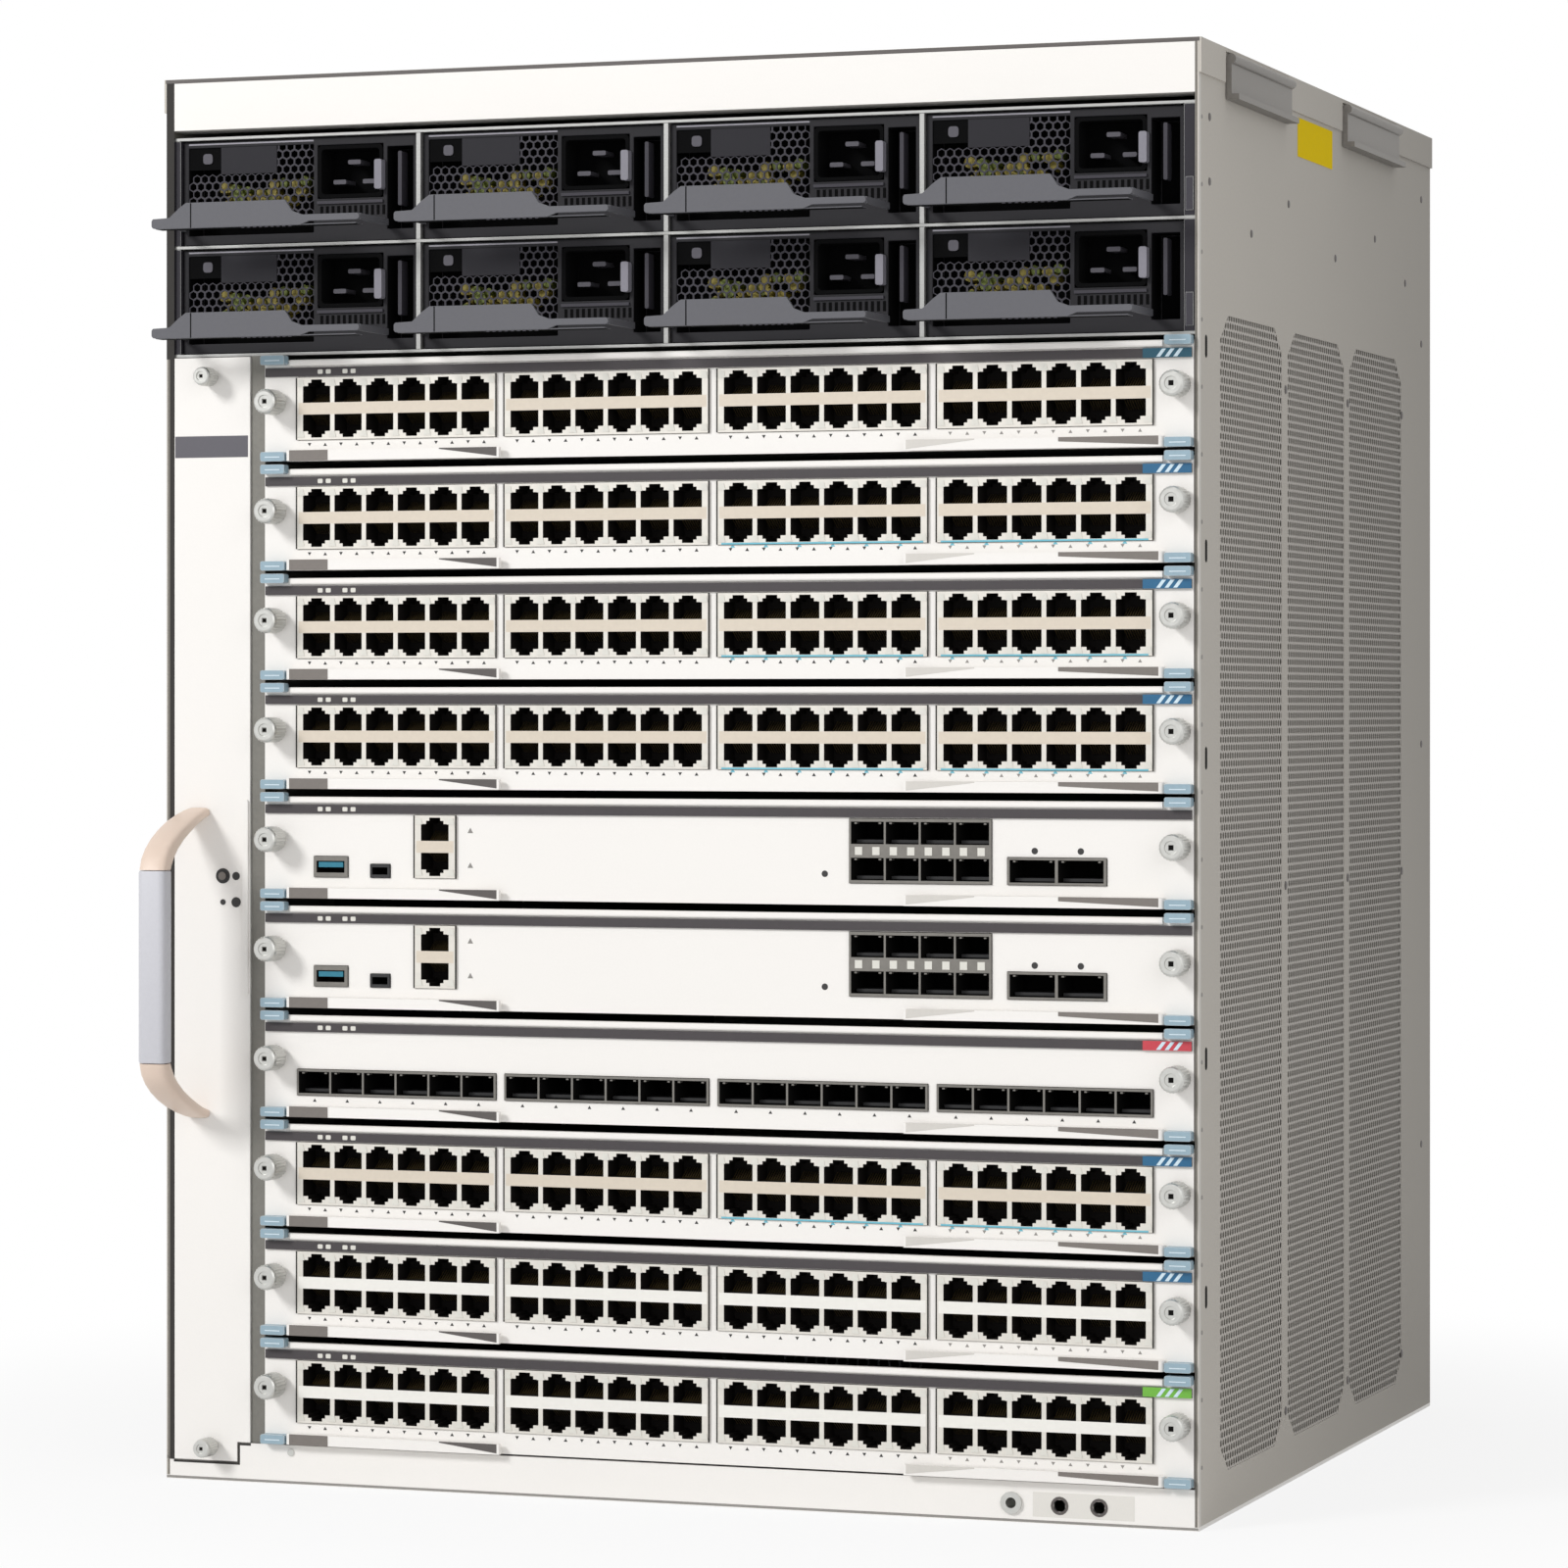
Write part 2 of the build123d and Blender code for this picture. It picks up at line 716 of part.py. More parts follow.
with BuildPart() as cord_clip:
    with BuildSketch(Plane.XZ.offset(fit_gap)):
        with Locations((inlet_left + inlet_width + 0.5, inlet_bottom + 3.0)):
            Rectangle(clip_width, clip_height, align=(Align.MIN, Align.MIN))
    extrude(amount=clip_reach)

with BuildPart() as pull_handle:
    pull_right = pull_width
    bar_top = pull_bottom + pull_bar_height
    tab_top = pull_bottom + pull_tab_height
    tab_right = pull_tab_left + pull_tab_width
    with BuildSketch(Plane.XZ.offset(pull_reach - pull_sheet)):
        with BuildLine():
            Polyline(
                (0, pull_bottom),
                (pull_right, pull_bottom),
                (pull_right, bar_top),
                (tab_right + pull_tab_slope, bar_top),
                (tab_right, tab_top),
                (pull_tab_left, tab_top),
                (pull_tab_left - pull_tab_slope, bar_top),
                (0, bar_top),
                close=True,
            )
        make_face()
    extrude(amount=pull_sheet)
    for edge_x in (0, pull_right - pull_sheet):
        with BuildSketch(Plane.XY.offset(pull_bottom)):
            with Locations((edge_x, -fit_gap)):
                Rectangle(pull_sheet, pull_reach - fit_gap, align=(Align.MIN, Align.MAX))
        extrude(amount=pull_bar_height)

for row in range(power_rows):
    for column in range(power_columns):
        bay_floor = slots_top + row * power_row_pitch + shelf_sheet / 2 + panel_gap
        corner = (power_first + column * power_pitch, front + power_recess, bay_floor)
        with BuildPart() as power_supply:
            with Locations(corner):
                add(power_can.part)
                add(inlet_pins.part)
                add(cord_clip.part)
                add(pull_handle.part)
        write(power_supply.part, f"power_supply_{(power_rows - 1 - row) * power_columns + column + 1}")


# Card pieces, drawn where they lie, with the slot's bottom at z = 0
def block(width, height, depth, openings, proud=gang_proud):
    """A jack block or cage: openings are (x, z, width, height, depth) from its middle."""
    with BuildPart() as body:
        with BuildSketch(Plane.XZ.offset(-front + proud)):
            Rectangle(width, height)
        extrude(amount=-depth)
        for x, z, opening_width, opening_height, opening_depth in openings:
            with BuildSketch(Plane.XZ.offset(-front + proud)):
                with Locations((x, z)):
                    Rectangle(opening_width, opening_height)
            extrude(amount=-opening_depth, mode=Mode.SUBTRACT)
    return body.part


def grid_openings(columns, pitch, rows, opening):
    """The same opening repeated along x, at each height in rows."""
    found = []
    for row_z in rows:
        for column in range(columns):
            x = (column - (columns - 1) / 2) * pitch
            found.append((x, row_z) + opening)
    return found


def card_carrier(windows):
    """The face, its rolled lip and the tray behind it, as one folded piece."""
    face_height = face_top - face_bottom
    with BuildPart() as carrier:
        with BuildSketch(Plane.XZ.offset(-front)):
            with Locations((card_middle, (face_top + face_bottom) / 2)):
                Rectangle(card_width, face_height)
            for x, z, width, height in windows:
                with Locations((x, z)):
                    Rectangle(width + 2 * fit_gap, height + 2 * fit_gap, mode=Mode.SUBTRACT)
        extrude(amount=-face_sheet)
        with BuildSketch(Plane.XZ.offset(-front)):
            with Locations((card_middle, (lip_bottom + face_top) / 2)):
                Rectangle(card_width - 2 * corner_pad_width - 2.0, face_top - lip_bottom)
        extrude(amount=lip_reach)
        tray_left = card_left + fit_gap
        tray_right = card_right - fit_gap
        with BuildSketch(Plane.XZ.offset(-front - face_sheet)):
            with BuildLine():
                Polyline(
                    (tray_left, face_bottom),
                    (tray_right, face_bottom),
                    (tray_right, card_flange_height),
                    (tray_right - tray_sheet, card_flange_height),
                    (tray_right - tray_sheet, face_bottom + tray_sheet),
                    (tray_left + tray_sheet, face_bottom + tray_sheet),
                    (tray_left + tray_sheet, card_flange_height),
                    (tray_left, card_flange_height),
                    close=True,
                )
            make_face()
        extrude(amount=-(card_depth - face_sheet))
    return carrier.part


def card_trim():
    """The light bar across a card's face and the pads at its four corners."""
    pad_spread = card_width - corner_pad_width
    pad_rise = lip_bottom + 0.6 - face_bottom
    with BuildPart() as trim:
        with BuildSketch(Plane.XZ.offset(-front + fit_gap / 2)):
            with Locations((card_middle, light_bar_bottom + light_bar_height / 2)):
                Rectangle(card_width - 2 * corner_pad_width - 2.0, light_bar_height)
        extrude(amount=light_bar_depth)
        with BuildSketch(Plane.XZ.offset(-front + fit_gap / 2)):
            with Locations((card_middle, face_bottom + (corner_pad_height + pad_rise) / 2)):
                with GridLocations(pad_spread, pad_rise, 2, 2):
                    Rectangle(corner_pad_width, corner_pad_height)
        extrude(amount=corner_pad_reach)
    return trim.part


def card_insides():
    """Board, rear connector and heat sink of a card, as separate solids."""
    board_top = gang_bottom - fit_gap / 2
    board_front = front + face_sheet + 1.0
    with BuildPart() as board:
        with BuildSketch(Plane.XY.offset(board_top)):
            with Locations((card_middle, board_front)):
                Rectangle(card_width - 2 * fit_gap, card_depth - 3.0, align=(Align.CENTER, Align.MIN))
        extrude(amount=-board_thickness)
    with BuildPart() as connector:
        with BuildSketch(Plane.XY.offset(board_top + fit_gap / 2)):
            with Locations((card_middle, front + card_depth + edge_connector_depth)):
                Rectangle(edge_connector_width, 2 * edge_connector_depth,
                          align=(Align.CENTER, Align.MAX))
        extrude(amount=edge_connector_height)
    with BuildPart() as heat_sink:
        with BuildSketch(Plane.XY.offset(board_top + fit_gap / 2)):
            with Locations((card_middle, 0)):
                Rectangle(heat_sink_side, heat_sink_side)
        extrude(amount=heat_sink_height)
    return [board.part, connector.part, heat_sink.part]


def card_knobs():
    """The two captive screws at the ends of a card's face."""
    with BuildPart() as knobs:
        with BuildSketch(Plane.XZ.offset(-front + fit_gap)):
            with Locations((card_left + knob_inset, knob_height), (card_right - knob_inset, knob_height)):
                RegularPolygon(knob_radius, 8)
        extrude(amount=knob_length)
    return knobs.part


def card(blocks, windows):
    """A whole card: blocks are (piece, x, z), windows (x, z, width, height)."""
    with BuildPart() as whole:
        add(card_carrier(windows))
        add(card_trim())
        for piece in card_insides():
            add(piece)
        add(card_knobs())
        for piece, x, z in blocks:
            with Locations((x, 0, z)):
                add(piece)
    return whole.part


gang_places = [card_left + gang_inset + step * gang_pitch for step in range(gang_count)]
tall_middle = gang_bottom + gang_height / 2
cage_middle = gang_bottom + cage_height / 2
gang_row_width = (gang_count - 1) * gang_pitch + gang_width
gang_row_middle = (gang_places[0] + gang_places[-1]) / 2

# Copper card: four blocks of twelve jacks
jack_opening = (jack_width, jack_height, jack_depth)
jack_rows = (-jack_row_offset, jack_row_offset)
jack_gang = block(gang_width, gang_height, gang_depth,
                  grid_openings(jack_columns, jack_pitch, jack_rows, jack_opening))
copper_card = card([(jack_gang, x, tall_middle) for x in gang_places],
                   [(gang_row_middle, tall_middle, gang_row_width, gang_height)])

# Fibre card: four low cages of six openings
fibre_opening = (fibre_opening_width, fibre_opening_height, cage_opening_depth)
fibre_cage = block(gang_width, cage_height, cage_depth,
                   grid_openings(jack_columns, fibre_pitch, (0,), fibre_opening))
fibre_card = card([(fibre_cage, x, cage_middle) for x in gang_places],
                  [(gang_row_middle, cage_middle, gang_row_width, cage_height)])

# Supervisor: host and console ports, a pair of jacks, uplink and wide cages
host_port = block(host_port_width, host_port_height, small_port_depth,
                  [(0, 0, host_opening_width, host_opening_height, small_port_depth - 3.0)])
console_port = block(console_port_width, console_port_height, small_port_depth,
                     [(0, 0, console_opening_width, console_opening_height, small_port_depth - 3.0)])
pair_jacks = block(pair_jack_width, gang_height, gang_depth,
                   grid_openings(1, 0, jack_rows, jack_opening))
uplink_width = uplink_columns * fibre_pitch + cage_wall
uplink_cage = block(uplink_width, gang_height, cage_depth,
                    grid_openings(uplink_columns, fibre_pitch, jack_rows, fibre_opening))
wide_width = wide_cage_columns * wide_cage_pitch + cage_wall
wide_opening = (wide_opening_width, fibre_opening_height, cage_opening_depth)
wide_cage = block(wide_width, cage_height, cage_depth,
                  grid_openings(wide_cage_columns, wide_cage_pitch, (0,), wide_opening))
wide_cage_inset = card_width - wide_cage_right_inset
uplink_inset = wide_cage_inset - (wide_width + uplink_width) / 2 - cage_spacing
supervisor_blocks = [
    (host_port, host_port_inset, host_port_width, host_port_height),
    (console_port, console_port_inset, console_port_width, console_port_height),
    (pair_jacks, pair_jack_inset, pair_jack_width, gang_height),
    (uplink_cage, uplink_inset, uplink_width, gang_height),
    (wide_cage, wide_cage_inset, wide_width, cage_height),
]
supervisor_card = card(
    [(piece, card_left + inset, gang_bottom + height / 2)
     for piece, inset, width, height in supervisor_blocks],
    [(card_left + inset, gang_bottom + height / 2, width, height)
     for piece, inset, width, height in supervisor_blocks],
)

# What each slot holds, from the top down
slot_cards = [("line_card", copper_card)] * 4 + [("supervisor", supervisor_card)] * 2
slot_cards += [("line_card", fibre_card)] + [("line_card", copper_card)] * 3
for slot, (kind, piece) in enumerate(slot_cards[:slot_count], start=1):
    with BuildPart() as slotted_card:
        with Locations((0, 0, slot_bottom(slot))):
            add(piece)
    write(slotted_card.part, f"{kind}_{slot}")


# Ejector levers, which swing out about an upright pivot at each end of a card
def lever(length):
    """A left-hand lever, its root rounded about the pivot at x = 0 and its tip thinned."""
    half = lever_thickness / 2
    axis_y = -turn_gap - half
    with BuildPart() as arm:
        with BuildSketch(Plane.XY.offset(lever_bottom)):
            with BuildLine():
                ThreePointArc((0, axis_y + half), (-half, axis_y), (0, axis_y - half))
                Polyline(
                    (0, axis_y - half),
                    (length, axis_y - half),
                    (length, axis_y - half + lever_tip_thickness),
                    (length - lever_tip_length, axis_y + half),
                    (0, axis_y + half),
                )
            make_face()
        extrude(amount=lever_height)
    return arm.part


lever_pivot_inset = corner_pad_width + lever_thickness / 2 + turn_gap
lever_ends = {
    "left": (lever(left_lever_length), card_left + lever_pivot_inset),
    "right": (mirror(lever(right_lever_length), about=Plane.YZ), card_right - lever_pivot_inset),
}
for slot in range(1, slot_count + 1):
    for end, (arm, pivot_x) in lever_ends.items():
        with BuildPart() as slotted_lever:
            with Locations((pivot_x, front, slot_bottom(slot))):
                add(arm)
        write(slotted_lever.part, f"ejector_{slot}_{end}")
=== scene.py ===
"""Looks of the modular chassis switch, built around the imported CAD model.

Everything is drawn in millimetres in the row frame and scaled to metres when a
mesh is made: x to the right, y to the back, z up. A card is drawn with its
slot's bottom at z = 0, and a power supply with its lower left front corner at
the origin.
"""

import math
import random

import bmesh
import bpy
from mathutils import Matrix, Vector


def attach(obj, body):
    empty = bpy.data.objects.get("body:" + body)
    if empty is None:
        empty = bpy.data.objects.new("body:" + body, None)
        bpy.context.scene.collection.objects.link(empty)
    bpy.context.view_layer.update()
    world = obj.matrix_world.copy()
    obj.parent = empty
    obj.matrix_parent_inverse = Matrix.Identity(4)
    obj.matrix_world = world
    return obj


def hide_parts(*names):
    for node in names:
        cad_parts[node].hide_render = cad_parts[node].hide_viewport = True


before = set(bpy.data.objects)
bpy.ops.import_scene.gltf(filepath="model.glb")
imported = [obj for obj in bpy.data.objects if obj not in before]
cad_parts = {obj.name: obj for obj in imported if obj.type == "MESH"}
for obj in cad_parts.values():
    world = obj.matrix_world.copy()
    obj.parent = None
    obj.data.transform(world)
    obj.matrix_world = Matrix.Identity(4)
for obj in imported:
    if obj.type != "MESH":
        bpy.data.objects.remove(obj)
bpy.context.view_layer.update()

rng = random.Random(7)
MM = 0.001
TURN = 2 * math.pi

# Sizes in millimetres, most of them shared with the CAD source. INK is how far print
# stands off a face, and PROUD how far a jack block or cage does.
FRONT, BACK = -200.0, 200.0
WALL_X = 219.0
WALL_LOW, WALL_HIGH = 1.5, 572.8
INK = 0.06
PROUD = 0.8
SLOT_PITCH = 44.45
SLOTS_TOP = 460.7
CARD_LEFT, CARD_RIGHT = -174.7, 217.1
CARD_MIDDLE = (CARD_LEFT + CARD_RIGHT) / 2
CARD_BACK = 160.0
GANG_BOTTOM, GANG_HEIGHT, GANG_WIDTH = 9.2, 25.3, 87.5
GANG_PLACES = [CARD_LEFT + 58.35 + step * 91.2 for step in range(4)]
JACK_PITCH, JACK_WIDTH = 13.97, 12.07
CAGE_HEIGHT, CAGE_DEPTH = 10.6, 22.0
JACK_ROW = 7.1
CAGE_OPENING = (13.6, 8.8)
FIBRE_PITCH = (GANG_WIDTH - 0.9) / 6
UPLINK_PITCH = 14.4
POWER_WIDTH, POWER_HEIGHT, POWER_DEPTH = 104.4, 42.5, 330.0
POWER_LEFT, POWER_PITCH = -212.8, 107.0
BAY_HALF, BAY_DEPTH = 217.5, (-199.0, 146.0)
FAN_MIDDLE, HANDLE_X = -198.4, -205.5


def slot_bottom(slot):
    """The height of a card slot's lower edge; slot 1 is at the top."""
    return SLOTS_TOP - slot * SLOT_PITCH


# ---- Materials -------------------------------------------------------------

def srgb(text):
    """A hex colour as linear red, green, blue and alpha."""
    parts = [int(text[i:i + 2], 16) / 255 for i in (0, 2, 4)]
    return [c / 12.92 if c <= 0.04045 else ((c + 0.055) / 1.055) ** 2.4 for c in parts] + [1.0]


def surface(name, colour, rough=0.5, metal=0.0, spread=0.06, scale=60.0, bump=0.02, streak=None,
            shade_scale=6.0, spec=0.5, fade=None):
    """A procedural finish: slow shade drift, fine grain in colour, roughness and bump.

    fade scales the colour from its first value at the chassis front to its second at
    the back, for the side walls: painted shade, lighter at the front and darker towards the back.
    """
    material = bpy.data.materials.new(name)
    material.use_nodes = True
    nodes, links = material.node_tree.nodes, material.node_tree.links
    shader = nodes["Principled BSDF"]
    place = nodes.new("ShaderNodeTexCoord")
    mapping = nodes.new("ShaderNodeMapping")
    links.new(place.outputs["Object"], mapping.inputs["Vector"])
    if streak:
        mapping.inputs["Scale"].default_value = streak
    fine = nodes.new("ShaderNodeTexNoise")
    fine.inputs["Scale"].default_value = scale * 10
    fine.inputs["Detail"].default_value = 3
    links.new(mapping.outputs["Vector"], fine.inputs["Vector"])
    slow = nodes.new("ShaderNodeTexNoise")
    slow.inputs["Scale"].default_value = shade_scale
    slow.inputs["Detail"].default_value = 2
    links.new(place.outputs["Object"], slow.inputs["Vector"])
    both = nodes.new("ShaderNodeMix")
    both.inputs["Factor"].default_value = 0.5
    links.new(fine.outputs["Fac"], both.inputs["A"])
    links.new(slow.outputs["Fac"], both.inputs["B"])
    ramp = nodes.new("ShaderNodeValToRGB")
    base = srgb(colour)
    ramp.color_ramp.elements[0].position = 0.3
    ramp.color_ramp.elements[1].position = 0.7
    ramp.color_ramp.elements[0].color = [c * (1 - spread) for c in base[:3]] + [1]
    ramp.color_ramp.elements[1].color = [min(c * (1 + spread), 1) for c in base[:3]] + [1]
    links.new(both.outputs["Result"], ramp.inputs["Fac"])
    # Painted shade: the colour is scaled along world y, lighter at the chassis front and darker towards the
    # back.
    if fade:
        spot = nodes.new("ShaderNodeNewGeometry")
        parts = nodes.new("ShaderNodeSeparateXYZ")
        links.new(spot.outputs["Position"], parts.inputs["Vector"])
        along = nodes.new("ShaderNodeMapRange")
        along.inputs["From Min"].default_value = FRONT * MM
        along.inputs["From Max"].default_value = BACK * MM
        along.inputs["To Min"].default_value = fade[0]
        along.inputs["To Max"].default_value = fade[1]
        links.new(parts.outputs["Y"], along.inputs["Value"])
        dim = nodes.new("ShaderNodeVectorMath")
        dim.operation = "SCALE"
        links.new(ramp.outputs["Color"], dim.inputs[0])
        links.new(along.outputs["Result"], dim.inputs["Scale"])
        links.new(dim.outputs["Vector"], shader.inputs["Base Color"])
    else:
        links.new(ramp.outputs["Color"], shader.inputs["Base Color"])
    polish = nodes.new("ShaderNodeMapRange")
    polish.inputs["To Min"].default_value = max(rough - 0.08, 0.05)
    polish.inputs["To Max"].default_value = min(rough + 0.08, 1.0)
    links.new(fine.outputs["Fac"], polish.inputs["Value"])
    links.new(polish.outputs["Result"], shader.inputs["Roughness"])
    relief = nodes.new("ShaderNodeBump")
    relief.inputs["Strength"].default_value = bump * 5
    relief.inputs["Distance"].default_value = 0.0002
    links.new(fine.outputs["Fac"], relief.inputs["Height"])
    links.new(relief.outputs["Normal"], shader.inputs["Normal"])
    shader.inputs["Metallic"].default_value = metal
    shader.inputs["Specular IOR Level"].default_value = spec
    return material


MAT = {
    # The case paint, the vent rings and the sheet behind them carry painted shade through fade: lighter at the
    # front, darker towards the back.
    "case": surface("case_paint", "bbb6ae", 0.68, 0.0, 0.05, 80, 0.03, shade_scale=4, spec=0.3,
                    fade=(1.12, 0.76)),
    # Mid grey seen through the vent holes, darker towards the back: painted shade for the inside of the
    # chassis.
    "shaded_inside_backing": surface("shaded_inside_backing", "87837c", 0.8, spec=0.1, fade=(1.0, 0.74)),
    "vent": surface("vent_paint", "b1aca5", 0.6, 0.1, 0.05, 80, 0.02, fade=(1.12, 0.74)),
    # Pale grey of the right wall's front strip; also painted shade on the right levers' tapered tips.
    "wall_edge": surface("wall_edge", "cfcbc5", 0.5, 0.1, 0.03),
    "bay_side": surface("bay_side", "2f2d33", 0.6, 0.0, 0.08, spec=0.2),
    "zinc_dim": surface("zinc_dim", "85838a", 0.4, 0.5, 0.1),
    "pad_bare": surface("pad_bare", "dedbd5", 0.4, 0.3, 0.04, 50, 0.03, streak=(8, 1, 1)),
    # Dark grey: the LED window, and painted shade on the inlet pins.
    "pin": surface("pin_steel", "55535a", 0.55, 0.2, 0.1, spec=0.3),
    "root": surface("lever_root", "76706b", 0.5, 0.1, 0.08),
    # Dark grey: painted shade on the left levers' tapered tips; also the colour of rivets, screws and trim.
    "tip": surface("lever_tip", "56514f", 0.5, 0.1, 0.08),
    "white": surface("white_paint", "f1eeea", 0.42, 0.0, 0.015, 120, 0.02),
    "zinc": surface("zinc_sheet", "a3a3a1", 0.42, 0.6, 0.08, 40, 0.03, streak=(1, 8, 8)),
    "post": surface("post_steel", "77756f", 0.5, 0.4, 0.12, 60, 0.06),
    # Dark grey: the left front flange and trim lines, and painted shadow outlines beside the jack blocks.
    "edge": surface("dark_edge", "383634", 0.7, 0.0, spec=0.2),
    "strip": surface("light_bar_plastic", "474345", 0.5, 0.0, 0.08, spec=0.3),
    "pad": surface("corner_pad_plastic", "93abb8", 0.4, 0.0, 0.05),
    "nickel": surface("knob_nickel", "c6c6c2", 0.32, 0.75, 0.06, 50, 0.03),
    # Near-black painted shade for the inside of pockets, sockets, slots and holes.
    "hollow_shade": surface("hollow_shade_black", "100f0e", 0.9, 0.0, 0.15, spec=0.1),
    "shield": surface("jack_shield", "dcd8d0", 0.4, 0.3, 0.04, 50),
    "beige": surface("jack_bar_beige", "d6cbbb", 0.45, 0.05, 0.04),
    "bar_white": surface("jack_bar_white", "eceae4", 0.45, 0.05, 0.03),
    "jack": surface("jack_plastic", "1a1614", 0.7, 0.0, 0.15, spec=0.2),
    "gold": surface("contact_gold", "4f4224", 0.5, 0.5),
    "cage": surface("cage_steel", "7a7772", 0.42, 0.6, 0.1, 40),
    "usb": surface("host_port_blue", "24788f", 0.4),
    "led_off": surface("led_window", "dcdad2", 0.3, 0.0, 0.02),
    # Grey print, also used as painted shade for the small holes in the side walls.
    "ink": surface("printed_grey_and_hole_shade", "8d8a86", 0.6, 0.0, 0.1),
    "ink_dark": surface("printed_dark", "2b2a2a", 0.6, 0.0, 0.1),
    "cyan": surface("printed_cyan", "6fb9cb", 0.5, 0.0, 0.05),
    "tag_blue": surface("tag_blue", "1f5f86", 0.4, 0.0, 0.06),
    "tag_teal": surface("tag_teal", "154f63", 0.4, 0.0, 0.06),
    "tag_red": surface("tag_red", "c23f4b", 0.4, 0.0, 0.06),
    "tag_green": surface("tag_green", "6db13d", 0.4, 0.0, 0.06),
    "tag_stripe": surface("tag_stripe", "cfe3ee", 0.4, 0.0, 0.03),
    "supply": surface("supply_paint", "1d1c20", 0.6, 0.0, 0.1, 60, 0.03, spec=0.25),
    "supply_mesh": surface("supply_mesh", "3d3b42", 0.55, 0.0, 0.1, spec=0.25),
    "supply_pull": surface("supply_pull", "5f5f64", 0.5, 0.0, 0.05, 60, 0.03, spec=0.3),
    # Near-black: the inlet's plastic, the LED window and the handle's groove; also painted shade inside the
    # supply, in its vent slots and under its handle.
    "supply_black_and_shade": surface("supply_black_and_shade", "09090a", 0.9, 0.0, 0.2, spec=0.08),
    "supply_label": surface("supply_label", "26252a", 0.6, 0.0, 0.08, spec=0.2),
    "clip": surface("clip_plastic", "85838c", 0.5, 0.0, 0.05, spec=0.3),
    "coil": surface("coil_copper", "94852f", 0.5, 0.0, 0.3, 30),
    "coil_green": surface("part_green", "6d782a", 0.5, 0.0, 0.3, 30),
    "board": surface("circuit_board", "1f4a35", 0.45, 0.0, 0.15, 40),
    "chip": surface("chip_black", "1a1a1c", 0.5, 0.0, 0.1),
    "heat": surface("heat_sink", "9a9c9e", 0.35, 0.85),
    "plug": surface("plug_grey", "c9c6bf", 0.5),
    "handle_end": surface("handle_beige", "e2cdbd", 0.42, 0.0, 0.02, 40, 0.02),
    "grip": surface("grip_grey", "c6c6cc", 0.5, 0.0, 0.03, 80, 0.05),
    "band": surface("band_grey", "57555c", 0.5, 0.0, 0.06),
    "fan": surface("fan_black", "17171a", 0.5, 0.0, 0.15),
    "lift": surface("lift_plate", "827e79", 0.5, 0.3, 0.1, 60, 0.04),
    "yellow": surface("yellow_patch", "e8c800", 0.8, 0.0, 0.03, spec=0.1),
}


# ---- Mesh building ---------------------------------------------------------

